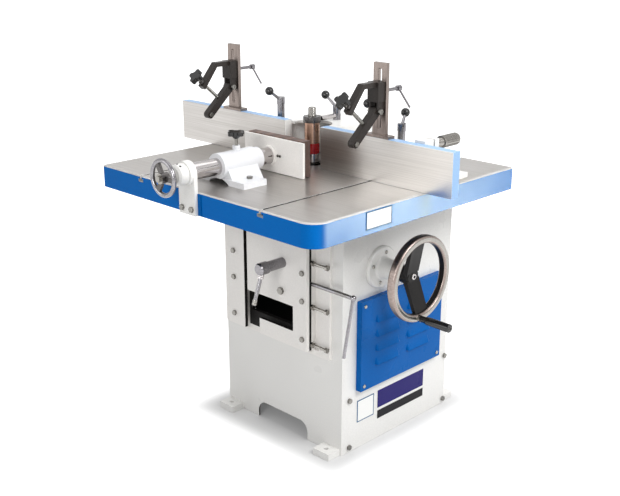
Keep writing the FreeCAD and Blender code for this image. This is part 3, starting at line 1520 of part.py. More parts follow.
def make_pressure_screw():
    hub_low = "(-press_wheel_y - press_hub_length / 2)"
    hub_high = "(-press_wheel_y + press_hub_length / 2)"
    screw_span = ("-press_screw_front", "-press_screw_front + press_screw_length")
    screw = rod("Y", "press_screw_radius", screw_span, PRESS_AXIS)
    hub = rod("Y", "press_hub_radius", (hub_low, hub_high), PRESS_AXIS)
    centre = (PRESS_X, "-press_wheel_y", PRESS_Z)
    ring = rim("Y", "press_wheel_radius", "press_rim_radius", centre)
    half = "press_spoke_thick / 2"
    profile = [
        ("press_hub_radius / 2", f"-{half}"),
        ("press_wheel_radius", f"-{half}"),
        ("press_wheel_radius", half),
        ("press_hub_radius / 2", half),
    ]
    spokes = [spoke(profile, "press_spoke_width", "Y", centre, turn) for turn in (0, 120, 240)]
    node("pressure_screw", fuse(screw, hub, ring, *spokes))


def make_pressure_bar():
    front = "(-press_bar_front)"
    back = f"({front} + press_bar_length)"
    bar = rod("Y", "press_bar_radius", (front, back), PRESS_AXIS)
    bore_span = (f"{front} - cut_over", f"{front} + press_screw_bore")
    bore = rod("Y", "press_screw_radius + slide_gap", bore_span, PRESS_AXIS)
    node("pressure_bar", cut(bar, bore))

    plate_front = f"({back} + running_fit)"
    plate_back = f"({plate_front} + plate_thick)"
    low = "(table_height + plate_lift)"
    across = ("spindle_x - plate_left", "spindle_x + plate_right")
    plate = box(across, (plate_front, plate_back), (low, f"{low} + plate_height"))
    ring = rod("Y", "plate_boss_radius", (f"{plate_front} - plate_boss_length", plate_front), PRESS_AXIS)
    seat_span = (f"{plate_front} - plate_boss_length - cut_over", plate_front)
    seat = rod("Y", "press_bar_radius + running_fit", seat_span, PRESS_AXIS)
    node("pressure_plate", fuse(plate, cut(ring, seat)))
    node("wood_facing", box(
        (f"{across[0]} + facing_end", f"{across[1]} - facing_end"),
        (plate_back, f"{plate_back} + facing_thick"),
        (low, f"{low} + plate_height + facing_extra"),
    ))


def make_saddle():
    front = "(-saddle_front)"
    back = f"({front} + saddle_length)"
    middle = f"({front} + saddle_length / 2)"
    barrel = rod("Y", "saddle_radius", (front, back), PRESS_AXIS)
    nose = rod("Y", "saddle_nose_radius", (back, f"{back} + saddle_nose_length"), PRESS_AXIS)
    leg = padded("XZ", [
        (f"{PRESS_X} - saddle_leg_width / 2", "table_height"),
        (f"{PRESS_X} + saddle_leg_width / 2", "table_height"),
        (f"{PRESS_X} + saddle_radius * 0.9", PRESS_Z),
        (f"{PRESS_X} - saddle_radius * 0.9", PRESS_Z),
    ], about(middle, "saddle_leg_length"))
    foot = box(about(PRESS_X, "saddle_foot_width"), about("-saddle_foot_y", "saddle_foot_length"),
               ("table_height", "table_height + saddle_foot_thick"))
    boss_axis = (PRESS_X, "-saddle_boss_y")
    boss_top = f"({PRESS_Z} + saddle_boss_height)"
    boss = rod("Z", "saddle_boss_radius", (PRESS_Z, boss_top), boss_axis)
    along = (f"{front} - cut_over", f"{back} + saddle_nose_length + cut_over")
    bore = rod("Y", "press_bar_radius + running_fit", along, PRESS_AXIS)
    arch = rod("Y", "saddle_arch", along, (PRESS_X, "table_height + saddle_arch_height - saddle_arch"))
    screw_hole = rod("Z", "saddle_screw + running_fit", (PRESS_Z, f"{boss_top} + cut_over"), boss_axis)
    node("saddle", cut(fuse(barrel, nose, leg, foot, boss), bore, arch, screw_hole))

    knob_low = f"({PRESS_Z} + saddle_knob_height)"
    stem = rod("Z", "saddle_screw", (f"{PRESS_Z} + press_bar_radius + slide_gap", knob_low), boss_axis)
    neck_foot = (*boss_axis, f"{knob_low} - saddle_knob_stem")
    neck = leaning_rod("saddle_screw * 1.3", "saddle_knob_stem", neck_foot, VECTOR(0, 0, 1), "0",
                       "saddle_knob_radius * 0.9")
    grip = lobed_knob("saddle_knob_radius", "saddle_knob_lobe", "saddle_knob_thick")
    move_to(grip, *boss_axis, knob_low)
    node("saddle_knob", fuse(stem, neck, grip))


def make_all():
    make_cabinet()
    make_floor_feet()
    make_table()
    make_insert_ring()
    make_side_cover()
    make_cap_screws()
    make_hex_bolts()
    make_slide_housing()
    make_keepers()
    make_gib()
    make_gib_screws()
    make_slide_lock()
    make_side_lock()
    make_carriage()
    make_bearings()
    make_lift_nut()
    make_spindle()
    make_pulley("spindle_pulley", "spindle_pulley_radius", "shaft_tail", SPINDLE)
    make_motor()
    make_pulley("motor_pulley", "motor_pulley_radius", "motor_shaft_radius", MOTOR)
    make_belt()
    make_lift()
    make_shaft_flange()
    make_handwheel()
    make_fence_body()
    left_inner = "spindle_x - left_fence_inner"
    make_fence_half("left_fence", f"{left_inner} - left_fence_length", left_inner)
    right_inner = "spindle_x + right_fence_inner"
    make_fence_half("right_fence", right_inner, f"{right_inner} + right_fence_length")
    make_clamps()
    make_adjust_knob()
    make_hold_down("left", "left_hold_x")
    make_hold_down("right", "right_hold_x")
    make_pressure_bracket()
    make_pressure_screw()
    make_pressure_bar()
    make_saddle()


def check_and_write():
    doc.recompute()
    failed = [item.Label for item in doc.Objects if {"Invalid", "Error"} & set(item.State)]
    for piece in NODES:
        if piece.Shape.isNull() or not piece.Shape.isValid() or not piece.Shape.Solids:
            failed.append(piece.Label)
    if failed:
        raise RuntimeError(f"failed objects: {failed}")
    for piece in NODES:
        piece.Shape.exportStep(f"parts/{piece.Label}.step")
        print(piece.Label, len(piece.Shape.Solids), round(piece.Shape.Volume))


make_all()
check_and_write()
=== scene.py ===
"""Looks of a floor-standing spindle moulder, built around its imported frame."""
import json
import logging
import math
from contextlib import contextmanager
from dataclasses import dataclass
from enum import Enum
from functools import partial
from typing import Callable, Iterator, Sequence

import bpy
from bpy.types import ID, Material, Node, NodeSocket, NodeTree, Object
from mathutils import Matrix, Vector

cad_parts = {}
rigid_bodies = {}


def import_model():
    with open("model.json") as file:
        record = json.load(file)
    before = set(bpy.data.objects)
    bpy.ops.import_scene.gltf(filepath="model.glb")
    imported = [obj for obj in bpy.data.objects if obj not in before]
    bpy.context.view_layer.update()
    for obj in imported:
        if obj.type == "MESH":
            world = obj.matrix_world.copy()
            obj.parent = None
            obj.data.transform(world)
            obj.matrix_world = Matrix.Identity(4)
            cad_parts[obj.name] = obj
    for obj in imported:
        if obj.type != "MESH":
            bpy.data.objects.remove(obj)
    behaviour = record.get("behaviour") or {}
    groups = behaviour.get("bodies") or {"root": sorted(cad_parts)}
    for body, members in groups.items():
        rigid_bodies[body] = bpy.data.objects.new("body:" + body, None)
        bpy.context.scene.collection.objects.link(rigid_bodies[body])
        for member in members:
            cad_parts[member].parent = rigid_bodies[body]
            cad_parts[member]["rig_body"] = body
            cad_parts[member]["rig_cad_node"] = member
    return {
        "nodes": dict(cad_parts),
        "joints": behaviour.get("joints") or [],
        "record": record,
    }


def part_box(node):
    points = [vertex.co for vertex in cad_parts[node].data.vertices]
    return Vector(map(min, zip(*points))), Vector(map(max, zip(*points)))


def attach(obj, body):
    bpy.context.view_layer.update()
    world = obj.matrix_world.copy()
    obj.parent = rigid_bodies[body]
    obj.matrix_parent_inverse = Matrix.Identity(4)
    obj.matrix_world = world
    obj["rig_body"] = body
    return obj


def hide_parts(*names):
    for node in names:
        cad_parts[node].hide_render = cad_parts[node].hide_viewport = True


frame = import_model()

logging.basicConfig(level=logging.INFO, format="%(message)s")
LOG = logging.getLogger("moulder")

MM = 0.001
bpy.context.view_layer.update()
SLOTS = {part["node"]: part["material_slot"] for part in frame["record"]["subparts"]}
JOINTS = {joint["name"]: joint for joint in frame["joints"]}
OPENINGS = {opening["name"]: opening for opening in frame["record"]["physics"]["openings"]}
FaceTest = Callable[[Vector, Vector], bool]
Span = tuple[float, float]
Place = tuple[float, float, float]
ANYWHERE: Span = (-math.inf, math.inf)

# Cosine over which a face looks along a direction, and under which it lies across it
ALONG = 0.9
ACROSS = 0.5
# Vertices nearer than this in metres are one, in the frame's meshes and after a bevel
MESH_MERGE = 0.00002
BEVEL_MERGE = 0.000003
# Bends in degrees under which a surface is flat, over which an edge is rounded, and over which shading breaks
FLAT_BEND = 0.6
EDGE_BEND = 32.0
SHARP_BEND = 34.0


class Pattern(Enum):
    """Texture that carries a finish's fine detail."""

    GRAIN = "TexNoise"
    RINGS = "TexWave"


class Axis(Enum):
    """The three directions of the frame."""

    X = (1.0, 0.0, 0.0)
    Y = (0.0, 1.0, 0.0)
    Z = (0.0, 0.0, 1.0)

    @property
    def vector(self) -> Vector:
        """Unit vector along the axis."""
        return Vector(self.value)

    def at(self, place: float) -> Vector:
        """Point on the axis through the origin."""
        return self.vector * place


class Side(Enum):
    """The two hands of the machine, as the operator sees them."""

    LEFT = "left"
    RIGHT = "right"


def linear(code: str) -> tuple[float, float, float, float]:
    """Turn an sRGB hex colour into linear light.

    Args:
        code: Colour such as "#1a2b3c".

    Returns:
        Red, green, blue and alpha.
    """
    parts = [int(code[place:place + 2], 16) / 255 for place in (1, 3, 5)]
    light = [part / 12.92 if part <= 0.04045 else ((part + 0.055) / 1.055) ** 2.4 for part in parts]
    return (*light, 1.0)


def joint_place(name: str) -> Vector:
    """Point of a joint in millimetres."""
    return Vector(JOINTS[name]["pos_m"]) / MM


def joint_axis(name: str) -> Vector:
    """Unit direction of a joint."""
    return Vector(JOINTS[name]["axis"]).normalized()


def box_mm(node: str) -> tuple[Vector, Vector]:
    """Lowest and highest corner of a node's box in millimetres."""
    low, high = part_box(node)
    return low / MM, high / MM


def feed(node: Node, inputs: dict) -> None:
    """Set or link the inputs of a shader node.

    Args:
        node: Node in its tree.
        inputs: Socket name or number to a value, an output socket, or a node whose first output in use feeds it.
    """
    for name, given in inputs.items():
        if isinstance(given, Node):
            given = next(output for output in given.outputs if output.enabled)
        if isinstance(given, NodeSocket):
            node.id_data.links.new(given, node.inputs[name])
        else:
            node.inputs[name].default_value = given


def add_node(tree: NodeTree, kind: str, inputs: dict | None = None, **settings: object) -> Node:
    """Add a shader node with its settings and links.

    Args:
        tree: Node tree of a material or world.
        kind: Blender's name of the node type after its ShaderNode.
        inputs: What feeds its sockets, as in feed.
        settings: Attributes of the node.

    Returns:
        The new node.
    """
    node = tree.nodes.new(f"ShaderNode{kind}")
    for name, setting in settings.items():
        setattr(node, name, setting)
    feed(node, inputs or {})
    return node


@dataclass(frozen=True)
class Finish:
    """A real material and how its surface was made.

    The pattern has one size in millimetres, or three along X, Y and Z that give the grain a direction.
    """

    name: str
    tone: str
    shade: str
    roughness: float
    grain_mm: Place | float
    metallic: float = 0.0
    pattern: Pattern = Pattern.GRAIN
    relief_mm: float = 0.02
    contrast: Span = (0.35, 0.65)
    cloud_mm: float = 160.0
    cloud_share: float = 0.08
    specular: float = 0.5
    coat: float = 0.0

    grain_share: float = 0.6
    cloud_detail: float = 4.0
    cloud_range: Span = (0.3, 0.7)
    ring_bend: float = 3.0
    ring_detail: float = 3.0
    bump_strength: float = 0.35
    least_roughness: float = 0.02
    coat_roughness: float = 0.08

    def build(self) -> Material:
        """Make the material, or give the one already made.

        Returns:
            A procedural material on Object coordinates.
        """
        made = bpy.data.materials.get(self.name)
        if made is not None:
            return made
        made = bpy.data.materials.new(self.name)
        made.use_nodes = True
        add = partial(add_node, made.node_tree)
        place = add("TexCoord").outputs["Object"]
        sizes = self.grain_mm if isinstance(self.grain_mm, tuple) else (self.grain_mm,) * 3
        sized = add("Mapping", {"Vector": place, "Scale": tuple(1.0 / (size * MM) for size in sizes)})
        fine = add(self.pattern.value, {"Vector": sized, "Scale": 1.0})
        if self.pattern is Pattern.RINGS:
            feed(fine, {"Distortion": self.ring_bend, "Detail": self.ring_detail})
        grain = fine.outputs["Fac"]
        low, high = self.contrast
        level = add("MapRange", {"Value": grain, "From Min": low, "From Max": high})
        cloud = add("TexNoise", {
            "Vector": place, "Scale": 1.0 / (self.cloud_mm * MM), "Detail": self.cloud_detail}).outputs["Fac"]
        share = add("Math", {0: level, 1: self.grain_share}, operation="MULTIPLY")
        mixed = add("Math", {0: cloud, 1: 1.0 - self.grain_share, 2: share}, operation="MULTIPLY_ADD")
        colour = add("Mix", {"Factor": mixed, "A": linear(self.tone), "B": linear(self.shade)}, data_type="RGBA")
        rough = add("MapRange", {
            "Value": cloud, "From Min": self.cloud_range[0], "From Max": self.cloud_range[1],
            "To Min": max(self.least_roughness, self.roughness - self.cloud_share),
            "To Max": self.roughness + self.cloud_share})
        bump = add("Bump", {"Height": grain, "Strength": self.bump_strength, "Distance": self.relief_mm * MM})
        feed(made.node_tree.nodes["Principled BSDF"], {
            "Base Color": colour, "Roughness": rough, "Normal": bump, "Metallic": self.metallic,
            "Specular IOR Level": self.specular, "Coat Weight": self.coat, "Coat Roughness": self.coat_roughness})
        return made


# Two-part enamel sprayed on castings and sheet: even, satin, with a fine orange-peel skin
WHITE_ENAMEL = Finish("white_sprayed_enamel", "#ecebe8", "#e0dfdc", 0.34, 3.0, relief_mm=0.03, coat=0.1)
# The same white enamel painted a shade darker and cooler on the saddle, as painted shade against the strong light on
# its side
SADDLE_ENAMEL_PAINTED_SHADE = Finish("white_enamel_painted_shade", "#dddee1", "#d3d4d7", 0.36, 3.0, relief_mm=0.04, specular=0.3)
# The same white enamel painted lighter and duller on the flat slide plates and the pressure plate: painted light that
# lifts the shade on them
WHITE_ENAMEL_PAINTED_LIGHT = Finish("white_enamel_painted_light", "#f5f2ee", "#ebe8e4", 0.38, 3.0, relief_mm=0.03, specular=0.3)
# Brown-black, flat and light-eating: real primer under the table; elsewhere it is painted shade, inside the cabinet, on
# the walls of the slide's window, between and beside the keepers, on a strip in place of a groove, and at the bottom of
# screw recesses
DARK_PRIMER_AND_PAINTED_SHADE = Finish("dark_primer_and_painted_shade", "#171514", "#0f0e0d", 0.75, 4.0, relief_mm=0.05, specular=0.2)
# Blue enamel on the table's sides: deep colour that shines only where light grazes it
BLUE_ENAMEL = Finish("blue_gloss_enamel", "#005aa2", "#00549a", 0.34, 3.5, relief_mm=0.02, specular=0.04)
# Blue enamel on sheet steel, a shade brighter
COVER_ENAMEL = Finish("blue_sheet_enamel", "#0060ae", "#0057a2", 0.3, 4.0, relief_mm=0.03, specular=0.07)
# Pale blue enamel on the unground sides of the fence castings
PALE_ENAMEL = Finish("pale_blue_enamel", "#9dbfe4", "#90b2da", 0.32, 3.0, relief_mm=0.03, specular=0.15)
# Grey iron ground along its length: bright, with long straight lines and soft cloudy stains
GROUND_IRON = Finish("ground_grey_iron", "#dcd9d5", "#c6c3bf", 0.32, (260.0, 1.6, 1.6), 1.0, relief_mm=0.006,
                     cloud_mm=240.0, cloud_share=0.06)
# The same ground iron painted darker on the table top, its insert ring and the left fence's face: painted shade for the
# dimmer light they reflect
GROUND_IRON_PAINTED_SHADE = Finish("ground_iron_painted_shade", "#c2bfbc", "#a9a5a1", 0.34, (260.0, 1.6, 1.6), 1.0, relief_mm=0.006,
                   cloud_mm=240.0, cloud_share=0.06)
# Edge where the grinding broke through the paint, dulled grey by handling; on the walls of the T-slots' front mouths
# the same pale finish is painted light
BARE_EDGE_AND_PAINTED_LIGHT = Finish("bare_iron_edge_and_painted_light", "#b5b4b2", "#a09e9b", 0.5, (60.0, 60.0, 2.0), relief_mm=0.01, specular=0.05)
# Grey iron as machined and oiled, inside the machine
OILED_IRON = Finish("oiled_machined_iron", "#4f4c49", "#363432", 0.45, (6.0, 1.5, 60.0), 1.0, relief_mm=0.02)
# Zinc-plated steel of bolts and screws: grey, slightly blotched
ZINC_STEEL = Finish("zinc_plated_steel", "#94928e", "#6b6964", 0.3, 1.2, 1.0, relief_mm=0.01, cloud_mm=12.0)
# Turned steel: bright, with a fine tool grain
TURNED_STEEL = Finish("turned_steel", "#a8a5a0", "#7d7a75", 0.24, 1.0, 1.0, relief_mm=0.01, cloud_mm=30.0)
# Polished steel of the big wheel's rim, tinted warm brown as a painted reflection of its surroundings
RIM_STEEL = Finish("polished_rim_steel", "#a39690", "#7d716b", 0.36, (14.0, 3.0, 3.0), 1.0, relief_mm=0.01,
                   cloud_mm=45.0)
# Hard chrome on ground bars: near mirror with faint wipe marks
CHROME = Finish("hard_chrome", "#cfcbca", "#b5b0b0", 0.09, (8.0, 60.0, 8.0), 1.0, relief_mm=0.004, cloud_mm=40.0,
                cloud_share=0.03)
# Plated steel of the levers: greyer than the bars, softened by handling
LEVER_STEEL = Finish("plated_lever_steel", "#99979a", "#737174", 0.2, 3.0, 1.0, relief_mm=0.006, cloud_mm=18.0)
# Phenolic mouldings: black, hard gloss, faint flow marks
PHENOLIC = Finish("black_phenolic", "#131313", "#1b1b1b", 0.17, 2.0, relief_mm=0.012, cloud_mm=20.0, cloud_share=0.04)
# Black paint on the big wheel's cast spokes, thicker and softer than the plastic
BLACK_ENAMEL = Finish("black_cast_enamel", "#161515", "#201e1d", 0.36, 2.5, relief_mm=0.05, cloud_mm=40.0,
                      specular=0.15)
# Charcoal enamel on the hold-down castings
CHARCOAL = Finish("charcoal_cast_enamel", "#35302d", "#292523", 0.4, 2.2, relief_mm=0.05, cloud_mm=40.0, specular=0.2)
# Flat bar left as rolled and oiled: brown-grey with lines along its height
ROLLED_STEEL = Finish("rolled_flat_steel", "#9a8e88", "#6c635e", 0.34, (1.4, 1.4, 70.0), 1.0, relief_mm=0.015,
                      cloud_mm=50.0)
# Blackened steel of nuts and of the small wheel's spokes
BLACKED_STEEL = Finish("blackened_steel", "#6a6766", "#474443", 0.28, 1.0, 0.9, relief_mm=0.01, cloud_mm=20.0)
# Red enamel of the guide ring
RED_ENAMEL = Finish("red_gloss_enamel", "#d0161c", "#b51017", 0.24, 2.0, relief_mm=0.02, cloud_mm=20.0, coat=0.2)
# Spacing sleeve turned from leaded bronze and browned by oil
BRONZE = Finish("browned_bronze", "#d8b19b", "#aa8874", 0.3, (40.0, 40.0, 0.8), 1.0, relief_mm=0.015, cloud_mm=25.0)
# Planed hardwood, dark brown, with its grain along the facing
HARDWOOD = Finish("dark_planed_hardwood", "#6d5349", "#46342d", 0.5, (140.0, 9.0, 9.0), pattern=Pattern.RINGS,
                  relief_mm=0.08, contrast=(0.2, 0.8), cloud_mm=70.0)
# Moulded rubber of the V-belt
BELT_RUBBER = Finish("moulded_belt_rubber", "#141414", "#1c1c1c", 0.62, 1.5, relief_mm=0.05)
# Grey motor enamel over a finned casting
MOTOR_ENAMEL = Finish("motor_grey_enamel", "#66707a", "#57606a", 0.4, 2.5, relief_mm=0.05)
# Aluminium plate left blank under a satin white coat
PLATE_WHITE = Finish("satin_white_plate", "#f4f4f2", "#ecece9", 0.3, 0.8, relief_mm=0.004)
# Deep navy film on a blank plate
PLATE_NAVY = Finish("navy_film", "#251d6c", "#201860", 0.3, 0.8, relief_mm=0.004, specular=0.1)
# Black film on a blank strip
PLATE_BLACK = Finish("black_film", "#17161a", "#1f1e22", 0.32, 0.8, relief_mm=0.004, specular=0.1)
# Blue-grey line round the blank plates
PLATE_LINE = Finish("blue_grey_line", "#2f648c", "#295a7f", 0.32, 0.8, relief_mm=0.004, specular=0.1)


Patch = tuple[Finish, FaceTest]
Look = tuple[str, Finish, float]


def select_only(thing: Object) -> None:
    """Deselect everything, then select one object and make it active."""
    bpy.ops.object.select_all(action="DESELECT")
    thing.select_set(True)
    bpy.context.view_layer.objects.active = thing


@contextmanager
def edit_mode(thing: Object, mode: str = "FACE") -> Iterator[None]:
    """Work on one object in edit mode.

    Args:
        thing: Object to edit.
        mode: What the selection holds: VERT, EDGE or FACE.
    """
    select_only(thing)
    bpy.ops.object.mode_set(mode="EDIT")
    bpy.ops.mesh.select_mode(type=mode)
    try:
        yield
    finally:
        bpy.ops.object.mode_set(mode="OBJECT")


def pick_faces(thing: Object, test: FaceTest) -> None:
    """Select the faces of an object that a test accepts, and nothing else.

    Args:
        thing: Object in object mode.
        test: Takes a face's centre and normal.
    """
    mesh = thing.data
    for part in (*mesh.vertices, *mesh.edges):
        part.select = False
    for face in mesh.polygons:
        face.select = test(face.center, face.normal)


def settle(thing: Object) -> None:
    """Put an object's place, turn and scale into its mesh."""
    select_only(thing)
    bpy.ops.object.transform_apply(location=True, rotation=True, scale=True)


def stand_along(thing: Object, start: Sequence[float], way: Sequence[float]) -> None:
    """Turn a piece modelled up the Z axis to a direction and put its foot at a point.

    Args:
        thing: Piece with its foot at the origin.
        start: Where its foot goes, in millimetres.
        way: Direction that its +Z takes.
    """
    thing.rotation_mode = "QUATERNION"
    thing.rotation_quaternion = Axis.Z.vector.rotation_difference(Vector(way).normalized())
    thing.location = Vector(start) * MM
    settle(thing)


def round_edges(thing: Object, width: float, segments: int = 2) -> None:
    """Bevel the sharp edges of a piece and close the faces that the bevels squeeze to nothing.

    Args:
        thing: Piece in object mode.
        width: Width of the bevel in millimetres.
        segments: Steps of the rounding.
    """
    select_only(thing)
    bevel = thing.modifiers.new("round_edges", "BEVEL")
    bevel.width = width * MM
    bevel.segments = segments
    bevel.limit_method = "ANGLE"
    bevel.angle_limit = math.radians(EDGE_BEND)
    bevel.use_clamp_overlap = True
    bpy.ops.object.modifier_apply(modifier=bevel.name)
    with edit_mode(thing, "VERT"):
        bpy.ops.mesh.select_all(action="SELECT")
        bpy.ops.mesh.remove_doubles(threshold=BEVEL_MERGE)
        bpy.ops.mesh.dissolve_degenerate(threshold=BEVEL_MERGE)


def facing(way: Vector, least: float = ALONG) -> FaceTest:
    """Test for faces that look along a direction."""
    return lambda centre, normal: normal.dot(way) > least


def across(axis: Axis) -> FaceTest:
    """Test for faces that look across an axis."""
    way = axis.vector
    return lambda centre, normal: abs(normal.dot(way)) < ACROSS


def within(x: Span = ANYWHERE, y: Span = ANYWHERE, z: Span = ANYWHERE) -> FaceTest:
    """Test for faces whose centre lies between limits in millimetres."""
    spans = (x, y, z)
    return lambda centre, normal: all(low < place / MM < high for place, (low, high) in zip(centre, spans))


def beyond(start: Vector, way: Vector, reach: float) -> FaceTest:
    """Test for faces further along a direction from a point than a reach in millimetres."""
    return lambda centre, normal: (centre / MM - start).dot(way) > reach


def round_axis(joint: str, least: float = 0.0, most: float = math.inf) -> FaceTest:
    """Test for faces at a distance from a joint's axis, in millimetres."""
    place, axis = joint_place(joint), joint_axis(joint)
    return lambda centre, normal: least <= (centre / MM - place).cross(axis).length < most


def both(first: FaceTest, second: FaceTest) -> FaceTest:
    """Test for faces that two tests accept."""
    return lambda centre, normal: first(centre, normal) and second(centre, normal)


def above(level: float) -> FaceTest:
    """Test for upward faces over a height in millimetres."""
    return both(facing(Axis.Z.vector), within(z=(level, math.inf)))


def opening_mm(name: str) -> tuple[Vector, Vector]:
    """Lowest and highest corner of a stated opening's box in millimetres."""
    low, high = OPENINGS[name]["box_m"]
    return Vector(low) / MM, Vector(high) / MM


def walls_of(opening: str, margin: float = 8.0) -> FaceTest:
    """Test for the side walls of an opening that looks along Y, up to a margin in millimetres outside its box."""
    low, high = opening_mm(opening)
    return both(across(Axis.Y), within(x=(low.x - margin, high.x + margin), z=(low.z - margin, high.z + margin)))


def sink_faces(thing: Object, test: FaceTest, inset: float, depth: float) -> None:
    """Inset chosen faces and push them in, or out for a negative depth.

    Args:
        thing: Piece in object mode.
        test: Chooses the faces.
        inset: Width of the rim that is left, in millimetres.
        depth: How far the faces go in, in millimetres.
    """
    pick_faces(thing, test)
    with edit_mode(thing):
        bpy.ops.mesh.inset(thickness=inset * MM, depth=0.0)
        bpy.ops.mesh.inset(thickness=0.0, depth=-depth * MM)


def draw_up(thing: Object, steps: Sequence[Span]) -> None:
    """Extrude the top of a piece upwards.

    Args:
        thing: Piece in object mode, with one face that looks up.
        steps: Height in millimetres and scale of each step.
    """
    pick_faces(thing, facing(Axis.Z.vector))
    with edit_mode(thing):
        for height, scale in steps:
            bpy.ops.mesh.extrude_region_move(TRANSFORM_OT_translate={"value": (0.0, 0.0, height * MM)})
            bpy.ops.transform.resize(value=(scale, scale, 1.0))


def paint(thing: Object, finish: Finish, test: FaceTest | None = None) -> None:
    """Give a piece, or the faces that a test accepts, a finish.

    Args:
        thing: Piece in object mode.
        finish: Finish to build and assign.
        test: Chooses the faces; None means all of them.
    """
    material = finish.build()
    if test is None:
        thing.data.materials.clear()
        thing.data.materials.append(material)
        return
    pick_faces(thing, test)
    thing.data.materials.append(material)
    thing.active_material_index = len(thing.data.materials) - 1
    with edit_mode(thing):
        bpy.ops.object.material_slot_assign()


def coat(thing: Object, finish: Finish, patches: Sequence[Patch] = (), degrees: float = SHARP_BEND) -> None:
    """Paint a shaped piece and shade it smooth, except across sharp edges and with flat faces kept flat.

    Args:
        thing: Piece in object mode.
        finish: Finish of the whole.
        patches: Finishes of chosen faces, in the order of painting.
        degrees: Bend over which the shading breaks.
    """
    select_only(thing)
    bpy.ops.object.shade_smooth_by_angle(angle=math.radians(degrees))
    even = thing.modifiers.new("even_normals", "WEIGHTED_NORMAL")
    even.keep_sharp = True
    bpy.ops.object.modifier_apply(modifier=even.name)
    paint(thing, finish)
    for other, test in patches:
        paint(thing, other, test)


def carry(thing: Object, body: str) -> None:
    """Let a finished piece ride on a body."""
    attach(thing, body)
    LOG.info("%s rides on %s", thing.name, body)


def add_primitive(name: str, operator: Callable[..., set[str]], **settings: object) -> Object:
    """Add a primitive mesh with nothing else selected.

    Args:
        name: Name of the new piece.
        operator: Blender's operator for the primitive.
        settings: The operator's settings.

    Returns:
        The new object.
    """
    bpy.ops.object.select_all(action="DESELECT")
    operator(**settings)
    made = bpy.context.object
    made.name = name
    return made


def add_block(name: str, low: Sequence[float], high: Sequence[float]) -> Object:
    """Add a cube primitive between two corners.

    Args:
        name: Name of the new piece.
        low: Lowest corner in millimetres.
        high: Highest corner in millimetres.

    Returns:
        The block, with its place in its mesh.
    """
    block = add_primitive(name, bpy.ops.mesh.primitive_cube_add, size=1.0)
    block.location = (Vector(low) + Vector(high)) * MM / 2
    block.scale = (Vector(high) - Vector(low)) * MM
    settle(block)
    return block


@dataclass
class Turned:
    """A small turned piece that is modelled up the Z axis and then stood on its seat.

    Radius, length and start, the centre of its seat, are in millimetres, and way leads away from the seat. Shares are
    of the radius for widths and of the length for heights.
    """

    name: str
    radius: float
    length: float
    start: Sequence[float]
    way: Vector
    finish: Finish = ZINC_STEEL
    replaces: str = ""
    sharp_bend: float = SHARP_BEND
    sides: int = 24

    def drum(self, height: float) -> Object:
        """Add a cylinder primitive of the piece's radius and a height in millimetres that stands on the origin."""
        drum = add_primitive(self.name, bpy.ops.mesh.primitive_cylinder_add, vertices=self.sides,
                             radius=self.radius * MM, depth=height * MM)
        drum.location = (0.0, 0.0, height * MM / 2)
        settle(drum)
        return drum

    def shape(self) -> Object:
        """Model the piece on the origin."""
        raise NotImplementedError

    def patches(self) -> list[Patch]:
        """List the faces that have a finish of their own."""
        return []

    def build(self, body: str, slot: str) -> None:
        """Model, finish and place the piece.

        Args:
            body: Body that carries it.
            slot: Material slot of the record; not used.
        """
        piece = self.shape()
        coat(piece, self.finish, self.patches(), self.sharp_bend)
        stand_along(piece, self.start, self.way)
        if self.replaces:
            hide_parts(self.replaces)
        carry(piece, body)


@dataclass
class Nut(Turned):
    """Hexagon nut or head with a turned crown."""

    sides: int = 6
    crown_height: float = 0.14
    crown_inset: float = 0.12
    bore_inset: float = 0.34
    bore_depth: float = 0.2
    edge: float = 0.05

    def shape(self) -> Object:
        """Model the nut on the origin."""
        crown = self.length * self.crown_height
        nut = self.drum(self.length - crown)
        sink_faces(nut, facing(Axis.Z.vector), self.radius * self.crown_inset, -crown)
        sink_faces(nut, above(self.length - crown / 2), self.radius * self.bore_inset, self.length * self.bore_depth)
        round_edges(nut, self.radius * self.edge)
        return nut


@dataclass
class SocketScrew(Turned):
    """Round screw head with a turned recess."""

    edge: float = 0.2
    cap_cosine: float = 0.99
    rim: float = 0.22
    recess: float = 0.45

    def shape(self) -> Object:
        """Model the head on the origin."""
        head = self.drum(self.length)
        round_edges(head, self.radius * self.edge, 3)
        sink_faces(head, facing(Axis.Z.vector, self.cap_cosine), self.radius * self.rim, self.length * self.recess)
        return head

    def patches(self) -> list[Patch]:
        """Paint the bottom of the recess near-black, as painted shade."""
        # Painted shade: the recess bottom is near-black where shade would fall
        level = self.length * (1.0 - self.recess / 2)
        return [(DARK_PRIMER_AND_PAINTED_SHADE, both(facing(Axis.Z.vector), within(z=(-math.inf, level))))]


@dataclass
class Thread(Turned):
    """Ridges of a screw thread over a plain bar; its depths are in millimetres."""

    pitch: float = 2.5

    sides: int = 18
    root_depth: float = 0.15
    ridge: float = 0.4
    sharp_bend: float = 20.0

    def shape(self) -> Object:
        """Model the ridges on the origin."""
        root = self.radius - self.root_depth
        swell = (self.radius + self.ridge) / root
        thread = add_primitive(self.name, bpy.ops.mesh.primitive_circle_add, vertices=self.sides, radius=root * MM,
                               fill_type="NGON")
        half = self.pitch / 2
        draw_up(thread, [(half, swell), (half, 1.0 / swell)] * int(self.length / self.pitch))
        with edit_mode(thread):
            bpy.ops.mesh.select_all(action="SELECT")
            bpy.ops.mesh.normals_make_consistent(inside=False)
        return thread


@dataclass
class Collar(Turned):
    """Rounded collar with a turned groove round its middle."""

    sides: int = 32
    half: float = 0.4
    groove: float = 0.1
    waist: float = 0.86
    edge: float = 0.15

    def shape(self) -> Object:
        """Model the collar on the origin."""
        half, groove = self.length * self.half, self.length * self.groove
        collar = self.drum(half)
        draw_up(collar, [(groove, self.waist), (groove, 1.0 / self.waist), (half, 1.0)])
        round_edges(collar, self.radius * self.edge, 3)
        return collar


